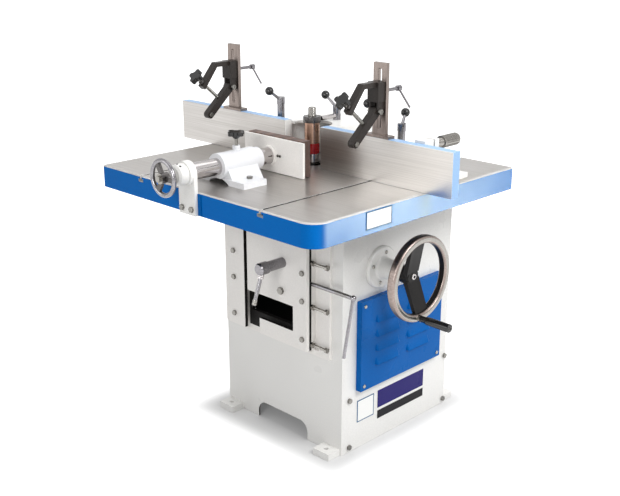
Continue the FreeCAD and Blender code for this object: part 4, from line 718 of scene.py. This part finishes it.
@dataclass
class Grip(Turned):
    """Straight grip of a crank handle with a waist of its radius at the wheel; steps and edge are in millimetres."""

    sides: int = 40
    steps: tuple[Span, ...] = ((5.0, 11.4), (4.0, 12.2), (80.0, 12.8))
    edge: float = 2.5

    def shape(self) -> Object:
        """Model the grip on the origin."""
        grip = self.drum(self.length - sum(height for height, _ in self.steps))
        radii = [self.radius, *(radius for _, radius in self.steps)]
        draw_up(grip, [(height, radius / last) for (height, radius), last in zip(self.steps, radii)])
        round_edges(grip, self.edge, 4)
        return grip


@dataclass(frozen=True)
class Plate:
    """A blank plate on the right side of a node, with its ends along Y and Z; all sizes are in millimetres."""

    name: str
    node: str
    y: Span
    z: Span
    face: Finish
    line: Finish

    lift: float = 1.2
    line_width: float = 2.8
    field_depth: float = 0.25
    edge: float = 0.3

    def build(self) -> None:
        """Model the plate with a raised line round a sunk field."""
        wall = box_mm(self.node)[1].x
        piece = add_block(self.name, (wall, self.y[0], self.z[0]), (wall + self.lift, self.y[1], self.z[1]))
        sink_faces(piece, facing(Axis.X.vector), self.line_width, self.field_depth)
        round_edges(piece, self.edge)
        spans = [(low + self.line_width, high - self.line_width) for low, high in (self.y, self.z)]
        coat(piece, self.line, [(self.face, both(facing(Axis.X.vector), within(ANYWHERE, *spans)))])
        carry(piece, "base")


@dataclass
class Casting:
    """A solid of the frame that is shown with worked edges and a real finish.

    Splits are planes across an axis, each at a place in millimetres, that divide faces so that patches can end there.
    """

    node: str
    finish: Finish
    edge_mm: float = 1.0
    segments: int = 2
    splits: Sequence[tuple[float, Axis]] = ()
    patches: Sequence[Patch] = ()

    def dress(self) -> None:
        """Copy the solid's mesh, round its edges, paint it and let it stand for the solid."""
        source = frame["nodes"][self.node]
        piece = source.copy()
        piece.data = source.data.copy()
        piece.parent = None
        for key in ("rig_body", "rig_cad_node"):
            del piece[key]
        bpy.context.scene.collection.objects.link(piece)
        piece.name = f"{self.node}_dressed"
        with edit_mode(piece, "VERT"):
            bpy.ops.mesh.select_all(action="SELECT")
            bpy.ops.mesh.remove_doubles(threshold=MESH_MERGE)
            bpy.ops.mesh.customdata_custom_splitnormals_clear()
            bpy.ops.mesh.dissolve_limited(angle_limit=math.radians(FLAT_BEND))
            for place, axis in self.splits:
                bpy.ops.mesh.select_all(action="SELECT")
                bpy.ops.mesh.bisect(plane_co=axis.at(place * MM), plane_no=axis.vector)
        round_edges(piece, self.edge_mm, self.segments)
        coat(piece, self.finish, self.patches)
        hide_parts(self.node)
        carry(piece, source["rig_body"])


@dataclass
class SubAssembly:
    """A group of solids with their finishes, and the small pieces that are added to them; sizes are in millimetres.

    Plain solids, which follow the others, have one finish all over and are given with the width of their edges.
    """

    plain: tuple[Look, ...] = ()

    def castings(self) -> list[Casting]:
        """List the other solids, which come first."""
        return []

    def details(self) -> None:
        """Add the small pieces of the group."""

    def build(self) -> None:
        """Dress the solids, then add the small pieces."""
        for casting in (*self.castings(), *(Casting(*look) for look in self.plain)):
            casting.dress()
        self.details()
        LOG.info("%s is built", type(self).__name__)


@dataclass
class Cabinet(SubAssembly):
    """Plate cabinet with its feet, louvred cover, bolts and blank plates."""

    plain: tuple[Look, ...] = (("hex_bolts", ZINC_STEEL, 0.9), ("cap_screws", TURNED_STEEL, 0.8))
    plates: tuple[Plate, ...] = (
        Plate("table_edge_plate", "table", (-381.0, -278.5), (795.0, 845.0), PLATE_WHITE, PLATE_LINE),
        Plate("wall_plate", "cabinet", (-186.0, -109.0), (90.0, 163.0), PLATE_WHITE, PLATE_LINE),
        Plate("wall_film", "cabinet", (-90.4, 135.6), (105.5, 165.0), PLATE_NAVY, PLATE_NAVY),
        Plate("wall_strip", "cabinet", (-90.4, 136.0), (68.0, 95.5), PLATE_BLACK, PLATE_BLACK),
    )

    def castings(self) -> list[Casting]:
        """List the cabinet, whose inside and window walls are painted near-black as painted shade, its feet and its
        cover.
        """

        def inside(centre: Vector, normal: Vector) -> bool:
            return abs(normal.z) < ACROSS and centre.x * normal.x + centre.y * normal.y < 0

        return [
            # Painted shade: the cabinet's inside and the walls of the slide's window are painted near-black
            Casting("cabinet", WHITE_ENAMEL, 1.6, patches=[
                (DARK_PRIMER_AND_PAINTED_SHADE, inside), (DARK_PRIMER_AND_PAINTED_SHADE, walls_of("slide_window"))]),
            Casting("floor_feet", WHITE_ENAMEL, 2.0),
            Casting("side_cover", COVER_ENAMEL, 1.4, 3),
        ]

    def details(self) -> None:
        """Fix the four plates."""
        for plate in self.plates:
            plate.build()


@dataclass
class Table(SubAssembly):
    """Ground table with painted sides and its insert ring."""

    plain: tuple[Look, ...] = (
        # Painted shade: the insert ring is in the darker copy of ground iron
        ("table_insert_ring", GROUND_IRON_PAINTED_SHADE, 0.6),)
    edge_band: float = 6.0
    edge_slopes: Span = (0.2, 0.98)
    skin: float = 15.0
    rib_reach: float = 200.0
    slot_place: float = 259.0
    slot_reach: float = 15.0
    slot_mouth: float = 16.0
    pad_width: float = 14.0
    pad_lift: float = 3.0
    pad_ends: Span = (1.0, 4.0)
    pad_edge: float = 2.2

    def castings(self) -> list[Casting]:
        """List the table, with a bare top and broken edges."""
        low, high = box_mm("table")
        top, mouth = high.z, low.y + self.slot_mouth

        def broken_edge(centre: Vector, normal: Vector) -> bool:
            return self.edge_slopes[0] < normal.z < self.edge_slopes[1] and centre.z / MM > top - self.edge_band

        def under(centre: Vector, normal: Vector) -> bool:
            outer = max(abs(normal.x * centre.x), abs(normal.y * centre.y)) / MM
            return centre.z / MM < top - self.skin and (normal.z < -ACROSS or outer < self.rib_reach)

        def in_slot(centre: Vector, normal: Vector) -> bool:
            return abs(abs(centre.x / MM) - self.slot_place) < self.slot_reach and abs(normal.y) < ACROSS

        return [
            Casting("table", BLUE_ENAMEL, 0.8, splits=[(mouth, Axis.Y)], patches=[
                # Painted light: the walls of the T-slots' front mouths get the pale bare-edge finish; the underside is
                # real primer
                (DARK_PRIMER_AND_PAINTED_SHADE, under), (TURNED_STEEL, in_slot), (BARE_EDGE_AND_PAINTED_LIGHT, both(in_slot, within(y=(-math.inf, mouth)))),
                # Painted shade: the top is in the darker copy of ground iron
                (GROUND_IRON_PAINTED_SHADE, above(top - 1.0)), (BARE_EDGE_AND_PAINTED_LIGHT, broken_edge)]),
        ]

    def details(self) -> None:
        """Add the machined pad that shows on both sides of the front bracket."""
        low, high = box_mm("table")
        left, right = (corner.x for corner in box_mm("pressure_bracket"))
        for side, start in ((Side.LEFT, left - self.pad_width), (Side.RIGHT, right)):
            pad = add_block(f"{side.value}_bracket_pad", (start, low.y - self.pad_lift, low.z + self.pad_ends[0]),
                            (start + self.pad_width, low.y, high.z - self.pad_ends[1]))
            round_edges(pad, self.pad_edge, 3)
            coat(pad, BLUE_ENAMEL)
            carry(pad, "base")


@dataclass
class LiftSlide(SubAssembly):
    """Upright slide on the front with its gib, its screws and the two lock levers."""

    plain: tuple[Look, ...] = (
        ("gib", OILED_IRON, 0.4), ("gib_screws", TURNED_STEEL, 0.6), ("slide_lock_lever", LEVER_STEEL, 0.8),
        ("side_lock_lever", LEVER_STEEL, 0.6))
    rail_shadow: float = 30.0
    window_margin: float = 2.0
    # Width of the near-black strip of painted shade beside the keepers, in place of a groove
    groove: float = 9.0
    lock_stand: float = 62.3
    lock_cap_length: float = 36.0
    lock_bar_lean: float = 19.0
    lock_collar: Span = (9.5, 13.0)
    lock_collar_place: float = 18.0
    lock_tip: Span = (7.2, 16.0)
    lock_tip_place: float = 95.0
    side_bar: float = 6.0
    side_pitch: float = 3.2
    side_start: float = 40.0
    side_end: float = 26.0

    def castings(self) -> list[Casting]:
        """List the housing and keepers, painted near-black as painted shade between and beside the keepers, on the
        window's walls, in the keepers' gap and on a strip beside them in place of a groove.
        """
        low, high = opening_mm("slide_window")
        left, right = low.x - self.rail_shadow, high.x + self.window_margin
        first, last = box_mm("slide_keepers")
        bottom, parting = first.z, last.y + self.groove
        between_rails = within(x=(left - 1.0, right), z=(bottom, math.inf))
        painted_groove_shade = both(facing(Axis.X.vector), within(x=(right, math.inf), y=(-math.inf, parting)))
        in_gap = both(lambda centre, normal: abs(normal.x) > ALONG, within(x=(first.x + 1.0, last.x - 1.0)))
        # Painted light: the housing and keepers are in the lighter copy of the white enamel
        return [
            # Painted shade: near-black between the rails, on the strip in place of a groove, on the window's walls and
            # in the keepers' gap
            Casting("slide_housing", WHITE_ENAMEL_PAINTED_LIGHT, 0.8,
                    splits=[(left, Axis.X), (right, Axis.X), (bottom, Axis.Z), (parting, Axis.Y)],
                    patches=[(DARK_PRIMER_AND_PAINTED_SHADE, between_rails), (DARK_PRIMER_AND_PAINTED_SHADE, painted_groove_shade)]),
            Casting("slide_keepers", WHITE_ENAMEL_PAINTED_LIGHT, 0.8, patches=[
                (DARK_PRIMER_AND_PAINTED_SHADE, walls_of("slide_window")), (DARK_PRIMER_AND_PAINTED_SHADE, in_gap)]),
        ]

    def details(self) -> None:
        """Add the collar and tip of the front lock's bar and the thread of the side lock."""
        lock = joint_place("slide_lock_turn")
        lean = math.radians(self.lock_bar_lean)
        down = Vector((0.0, -math.sin(lean), -math.cos(lean)))
        middle = Vector((lock.x, box_mm("slide_keepers")[0].y - self.lock_stand - self.lock_cap_length / 2, lock.z))
        Collar("lock_bar_collar", *self.lock_collar, middle + down * self.lock_collar_place, down, CHROME).build(
            "slide_lock", "steel")
        Collar("lock_bar_tip", *self.lock_tip, middle + down * self.lock_tip_place, down, TURNED_STEEL).build(
            "slide_lock", "steel")
        side = joint_place("side_lock_turn")
        start = Vector((max(side.x, box_mm("slide_housing")[1].x - self.side_start), side.y, side.z))
        length = box_mm("side_lock_lever")[1].x - start.x - self.side_end
        Thread("side_lock_thread", self.side_bar, length, start, Axis.X.vector, pitch=self.side_pitch).build(
            "side_lock", "steel")


@dataclass
class LiftDrive(SubAssembly):
    """Handwheel, its shaft and flange, and the screw that lifts the carriage."""

    plain: tuple[Look, ...] = (
        ("handwheel_shaft", TURNED_STEEL, 0.5), ("shaft_flange", WHITE_ENAMEL, 1.2),
        ("lift_bracket", OILED_IRON, 0.8), ("lift_nut", BRONZE, 0.5), ("lead_screw", TURNED_STEEL, 0.4))
    rim_inner: float = 107.3
    pin_reach: float = 7.0
    hub_screw: Span = (9.0, 4.5)
    grip_waist: float = 9.6
    grip_screw: Span = (5.5, 2.0)
    grip_screw_seat: float = 0.4

    def castings(self) -> list[Casting]:
        """List the handwheel, whose rim and pin are bare."""
        on_pin = beyond(box_mm("handwheel_handle")[0], Axis.X.vector, -self.pin_reach)
        return [
            Casting("handwheel", BLACK_ENAMEL, 1.2, patches=[
                (RIM_STEEL, round_axis("handwheel_turn", self.rim_inner)), (TURNED_STEEL, on_pin)]),
        ]

    def details(self) -> None:
        """Add the screw in the hub, and the grip of the handle with its end screw."""
        way, node = Axis.X.vector, "handwheel_handle"
        axis, spin = joint_place("handwheel_turn"), joint_place("handle_spin")
        face = (box_mm("handwheel_shaft")[1].x, axis.y, axis.z)
        SocketScrew("hub_screw", *self.hub_screw, face, way, CHROME).build("handwheel", "steel")
        first, last = (corner.x for corner in box_mm(node))
        Grip("handwheel_grip", self.grip_waist, last - first, (first, spin.y, spin.z), way, PHENOLIC, node).build(
            node, SLOTS[node])
        SocketScrew("handle_screw", *self.grip_screw, (last - self.grip_screw_seat, spin.y, spin.z), way,
                    BLACKED_STEEL).build(node, "black_plastic")


@dataclass
class Spindle(SubAssembly):
    """Rising carriage with its spindle, motor and belt, and the rings on the spindle's nose."""

    plain: tuple[Look, ...] = (
        ("spindle_carriage", OILED_IRON, 1.0), ("spindle_bearings", TURNED_STEEL, 0.6), ("motor", MOTOR_ENAMEL, 0.8),
        ("drive_belt", BELT_RUBBER, 0.5), ("spindle_shaft", TURNED_STEEL, 0.5), ("spindle_pulley", OILED_IRON, 0.5),
        ("spacer_sleeve", BRONZE, 0.6), ("guide_ring", RED_ENAMEL, 1.0), ("base_collar", CHROME, 1.2),
        ("spindle_nut", BLACKED_STEEL, 1.8), ("motor_shaft", TURNED_STEEL, 0.4), ("motor_pulley", OILED_IRON, 0.5))
    nut_radius: float = 27.5
    hole: Span = (4.0, 1.5)
    hole_seat: float = 1.2
    hole_turns: tuple[float, ...] = (0.0, 90.0, 180.0, 270.0)
    nose_radius: float = 12.0
    nose_pitch: float = 3.0
    nose_start: float = 0.6
    nose_short: float = 2.5

    def details(self) -> None:
        """Add the spanner holes of the nut and the thread above it."""
        axis = joint_place("spindle_spin")
        low, high = (corner.z for corner in box_mm("spindle_nut"))
        for number, turn in enumerate(math.radians(turn) for turn in self.hole_turns):
            way = Vector((math.cos(turn), math.sin(turn), 0.0))
            start = Vector((axis.x, axis.y, (low + high) / 2)) + way * (self.nut_radius - self.hole_seat)
            SocketScrew(f"nut_spanner_hole_{number}", *self.hole, start, way, BLACKED_STEEL).build(
                "spindle", "dark_steel")
        length = box_mm("spindle_shaft")[1].z - high - self.nose_short
        Thread("spindle_nose_thread", self.nose_radius, length, (axis.x, axis.y, high + self.nose_start),
               Axis.Z.vector, TURNED_STEEL, pitch=self.nose_pitch).build("spindle", "steel")


@dataclass
class Fence(SubAssembly):
    """Split fence with its hood, clamp levers and the fluted setting knob."""

    ball_reach: float = 35.0
    levers: tuple[str, ...] = ("left_clamp", "hood_clamp", "right_clamp", "end_clamp")

    def castings(self) -> list[Casting]:
        """List the fence's solids; only the working faces are ground, and the levers carry black balls."""
        ground_face = facing(-Axis.Y.vector)
        return [
            Casting("fence_body", WHITE_ENAMEL, 1.6),
            Casting("right_fence_carrier", WHITE_ENAMEL, 1.6),
            Casting("clamp_posts", LEVER_STEEL, 0.6),
            Casting("guard_rod", CHROME, 0.6),
            *(Casting(f"{lever}_lever", LEVER_STEEL, 0.8, patches=[
                (PHENOLIC, round_axis(f"{lever}_turn", self.ball_reach))]) for lever in self.levers),
            Casting("adjust_knob", TURNED_STEEL, 0.4),
            Casting("left_fence", PALE_ENAMEL, 0.8, patches=[
                # Painted shade: the left fence's ground face is in the darker copy of ground iron
                (GROUND_IRON_PAINTED_SHADE, ground_face), (WHITE_ENAMEL, facing(Axis.X.vector))]),
            Casting("right_fence", PALE_ENAMEL, 0.8, patches=[(GROUND_IRON, ground_face)]),
        ]


@dataclass
class HoldDown(SubAssembly):
    """One of the two hold-downs that press the workpiece on the table."""

    side: Side = Side.LEFT
    arm_width: float = 22.0
    arm_length: float = 119.0
    arm_lean: float = 48.4
    arm_nut: Span = (8.0, 5.0)
    ear_face: float = 17.3
    pivot_nut: Span = (9.0, 6.0)
    knob_start: float = 102.0
    lock_nut: Span = (9.5, 8.0)
    lock_nut_place: float = 79.8
    thread: Span = (5.0, 60.0)
    thread_place: float = 2.0

    def castings(self) -> list[Casting]:
        """List the hold-down's solids."""
        name = self.side.value
        turn = f"{name}_screw_turn"
        knob = beyond(joint_place(turn), joint_axis(turn), self.knob_start)
        return [
            Casting(f"{name}_hold_post", ROLLED_STEEL, 0.8),
            Casting(f"{name}_hold_block", CHARCOAL, 1.2),
            Casting(f"{name}_hold_arm", CHARCOAL, 1.6),
            Casting(f"{name}_hold_screw", ZINC_STEEL, 1.0, patches=[(PHENOLIC, knob)]),
            Casting(f"{name}_hold_clamp", LEVER_STEEL, 0.4),
        ]

    def details(self) -> None:
        """Add the cross bolts, the lock nut and the screw's thread."""
        name = self.side.value
        pivot = joint_place(f"{name}_arm_swing")
        lean = math.radians(self.arm_lean)
        tip = pivot + Vector((0.0, -math.sin(lean), -math.cos(lean))) * self.arm_length
        for hand, way in ((Side.RIGHT, Axis.X.vector), (Side.LEFT, -Axis.X.vector)):
            Nut(f"{name}_pivot_nut_{hand.value}", *self.pivot_nut, pivot + way * self.ear_face, way).build(
                f"{name}_hold_block", "steel")
            Nut(f"{name}_arm_nut_{hand.value}", *self.arm_nut, tip + way * self.arm_width / 2, way).build(
                f"{name}_hold_arm", "steel")
        foot, way, body = joint_place(f"{name}_screw_turn"), joint_axis(f"{name}_screw_turn"), f"{name}_hold_screw"
        Nut(f"{name}_lock_nut", *self.lock_nut, foot + way * self.lock_nut_place, way, BLACKED_STEEL).build(
            body, "dark_steel")
        Thread(f"{name}_hold_thread", *self.thread, foot + way * self.thread_place, way).build(body, "steel")


@dataclass
class PressureShoe(SubAssembly):
    """Front shoe with its chromed bar, saddle, bracket and small handwheel."""

    rim_inner: float = 42.0
    screw_reach: float = 9.6
    stem_reach: float = 5.5
    collar_radius: float = 30.0
    collar_middle: float = 13.0
    set_screw: Span = (3.6, 1.4)
    set_screw_seat: float = 0.6
    set_screw_turns: tuple[float, ...] = (62.0, 90.0, 118.0)
    plate_screw: Span = (4.2, 3.4)
    plate_screw_places: tuple[Span, ...] = ((37.5, 4.0), (47.0, 4.0))

    def castings(self) -> list[Casting]:
        """List the shoe's solids."""
        on_stem = both(round_axis("saddle_knob_turn", most=self.stem_reach), across(Axis.Z))
        return [
            Casting("pressure_bracket", WHITE_ENAMEL, 1.2),
            # Painted shade: the saddle is in a darker copy of the white enamel
            Casting("saddle", SADDLE_ENAMEL_PAINTED_SHADE, 2.0),
            Casting("pressure_bar", CHROME, 0.6),
            # Painted light: the pressure plate is in the lighter copy of the white enamel
            Casting("pressure_plate", WHITE_ENAMEL_PAINTED_LIGHT, 1.0),
            Casting("wood_facing", HARDWOOD, 1.2),
            Casting("saddle_knob", PHENOLIC, 1.2, patches=[(ZINC_STEEL, on_stem)]),
            Casting("pressure_screw", BLACKED_STEEL, 0.8, patches=[
                (LEVER_STEEL, round_axis("pressure_turn", self.rim_inner)),
                (TURNED_STEEL, round_axis("pressure_turn", most=self.screw_reach))]),
        ]

    def details(self) -> None:
        """Add the collar's set screws and the two screws beside the plate's ring."""
        axis = joint_place("pressure_turn")
        collar = Vector((axis.x, box_mm("pressure_bracket")[0].y + self.collar_middle, axis.z))
        for number, turn in enumerate(math.radians(turn) for turn in self.set_screw_turns):
            way = Vector((math.cos(turn), 0.0, math.sin(turn)))
            start = collar + way * (self.collar_radius - self.set_screw_seat)
            SocketScrew(f"collar_screw_{number}", *self.set_screw, start, way, BLACKED_STEEL).build(
                "base", "dark_steel")
        bar_end = box_mm("pressure_bar")[1].y
        for number, (shift, rise) in enumerate(self.plate_screw_places):
            start = (axis.x + shift, bar_end, axis.z + rise)
            SocketScrew(f"plate_screw_{number}", *self.plate_screw, start, -Axis.Y.vector).build(
                "pressure_bar", "steel")


def hang(name: str, holder: ID, place: Sequence[float], way: Vector) -> Object:
    """Hang a lamp or camera at a place in metres, facing along a direction, and give its object."""
    made = bpy.data.objects.new(name, holder)
    bpy.context.scene.collection.objects.link(made)
    made.location = place
    made.rotation_mode = "QUATERNION"
    made.rotation_quaternion = way.to_track_quat("-Z", "Y")
    return made


@dataclass(frozen=True)
class SoftBox:
    """A soft rectangular lamp, with its place, aim and size in metres; a card shows only in glossy surfaces."""

    name: str
    place: Place
    aim: Place
    size: Span
    watts: float
    card: bool = False

    def build(self) -> Object:
        """Hang the lamp and give its object."""
        light = bpy.data.lights.new(self.name, "AREA")
        light.shape = "RECTANGLE"
        light.size, light.size_y = self.size
        light.energy = self.watts
        made = hang(self.name, light, self.place, Vector(self.aim) - Vector(self.place))
        if self.card:
            made.visible_diffuse = False
            made.visible_camera = False
        return made


@dataclass
class Studio:
    """Floor, soft lights and the camera of the photograph's view.

    The camera's lens, sensor, target and distance are in millimetres, and the room is in metres.
    """

    azimuth: float = 44.87
    elevation: float = 18.29
    target: Place = (-32.1, -96.9, 568.1)
    distance: float = 3133.5
    lens: float = 56.98
    sensor: float = 36.0
    floor_size: float = 40.0
    floor_drop: float = 0.0005
    floor_tone: str = "#c8c8c8"
    shadow_half: Span = (0.27, 0.3)
    shadow_round: float = 0.3
    shadow_reach: float = 1.45
    shadow_glow: float = 0.13
    room_lean: Place = (-0.25, 0.75, 0.6)
    room_range: Span = (-0.6, 0.5)
    room_light: Span = (0.18, 0.95)
    strip_tint: str = "#f8ffde"
    strip: SoftBox = SoftBox("low_strip", (2.34, 1.01, 0.35), (0.84, -0.49, 0.8), (2.0, 1.1), 820.0, card=True)
    boxes: tuple[SoftBox, ...] = (
        SoftBox("key_box", (1.2, -3.4, 1.8), (0.0, -0.2, 0.7), (1.3, 1.3), 38.0),
        SoftBox("right_box", (2.9, 0.1, 3.1), (0.2, 0.0, 0.5), (1.4, 1.4), 88.0),
        SoftBox("top_box", (-0.2, 0.6, 4.0), (0.0, -0.1, 0.8), (2.4, 2.4), 20.0),
        SoftBox("front_card", (-1.5, -3.1, 1.9), (0.1, -0.3, 0.9), (2.0, 1.8), 23.0, card=True),
    )

    def camera(self) -> None:
        """Stand the camera where the photograph was taken."""
        turn, rise = math.radians(self.azimuth), math.radians(self.elevation)
        back = Vector((math.sin(turn) * math.cos(rise), -math.cos(turn) * math.cos(rise), math.sin(rise)))
        holder = bpy.data.cameras.new("camera")
        holder.lens = self.lens
        holder.sensor_width = self.sensor
        bpy.context.scene.camera = hang("camera", holder, (Vector(self.target) + back * self.distance) * MM, -back)

    def table_strip(self) -> None:
        """Lay the low card whose sheen shows along the right side of the table alone."""
        strip = self.strip.build()
        strip.data.color = linear(self.strip_tint)[:3]
        lit = bpy.data.collections.new("lit_by_low_strip")
        lit.objects.link(bpy.data.objects["table_dressed"])
        strip.light_linking.receiver_collection = lit

    def background_ray(self, tree: NodeTree) -> Node:
        """Give 1 for rays that show the background, straight or in metal and glass, and 0 for the rest."""
        path = add_node(tree, "LightPath")
        seen = add_node(tree, "Math", {
            0: path.outputs["Is Camera Ray"], 1: path.outputs["Is Transmission Ray"]}, operation="MAXIMUM")
        return add_node(tree, "Math", {0: seen, 1: path.outputs["Is Glossy Ray"]}, operation="MAXIMUM")

    def floor(self) -> None:
        """Lay a pale floor that keeps the shadow under the machine and turns white away from it."""
        plane = add_primitive("floor", bpy.ops.mesh.primitive_plane_add, size=self.floor_size,
                              location=(0.0, 0.0, -self.floor_drop))
        paper = bpy.data.materials.new("white_paper_floor")
        paper.use_nodes = True
        tree = paper.node_tree
        tree.nodes.clear()
        add = partial(add_node, tree)
        place = add("TexCoord")
        scale = (1.0 / self.shadow_half[0], 1.0 / self.shadow_half[1], 0.0)
        sized = add("VectorMath", {0: place.outputs["Object"], 1: scale}, operation="MULTIPLY")
        apart = add("VectorMath", {0: sized}, operation="ABSOLUTE")
        sides = add("SeparateXYZ", {"Vector": apart})
        reach = add("Math", {
            0: sides.outputs["X"], 1: sides.outputs["Y"], 2: self.shadow_round}, operation="SMOOTH_MAX")
        far = add("MapRange", {
            "Value": reach, "From Min": 1.0, "From Max": self.shadow_reach,
            "To Min": self.shadow_glow, "To Max": 1.0}, interpolation_type="SMOOTHSTEP")
        glow = add("Math", {0: self.background_ray(tree), 1: far}, operation="MULTIPLY")
        lit = add("Emission", {"Color": (1.0, 1.0, 1.0, 1.0), "Strength": glow})
        matt = add("BsdfDiffuse", {"Color": linear(self.floor_tone)})
        mixed = add("AddShader", {0: lit, 1: matt})
        add("OutputMaterial", {"Surface": mixed})
        plane.data.materials.append(paper)

    def world(self) -> None:
        """Surround the scene with a pale room that lights less from the front and shows as white."""
        made = bpy.data.worlds.new("studio")
        bpy.context.scene.world = made
        made.use_nodes = True
        tree = made.node_tree
        tree.nodes.clear()
        add = partial(add_node, tree)
        way = add("TexCoord")
        lean = add("VectorMath", {0: way.outputs["Generated"], 1: self.room_lean}, operation="DOT_PRODUCT")
        room = add("MapRange", {
            "Value": lean, "From Min": self.room_range[0], "From Max": self.room_range[1],
            "To Min": self.room_light[0], "To Max": self.room_light[1]}, interpolation_type="SMOOTHSTEP")
        power = add("Mix", {"Factor": self.background_ray(tree), "A": room, "B": 1.0}, data_type="FLOAT")
        light = add("Background", {"Color": (1.0, 1.0, 1.0, 1.0), "Strength": power})
        add("OutputWorld", {"Surface": light})

    def build(self) -> None:
        """Set up the camera, floor, world and lamps."""
        self.camera()
        self.floor()
        self.world()
        for box in self.boxes:
            box.build()


def main() -> None:
    """Build the studio, then the machine from the floor up."""
    bpy.context.scene.view_settings.view_transform = "Standard"
    studio = Studio()
    studio.build()
    for group in (Cabinet(), Table(), LiftSlide(), LiftDrive(), Spindle(), Fence(), HoldDown(side=Side.LEFT),
                  HoldDown(side=Side.RIGHT), PressureShoe()):
        group.build()
    studio.table_strip()


if __name__ == "__main__":
    main()
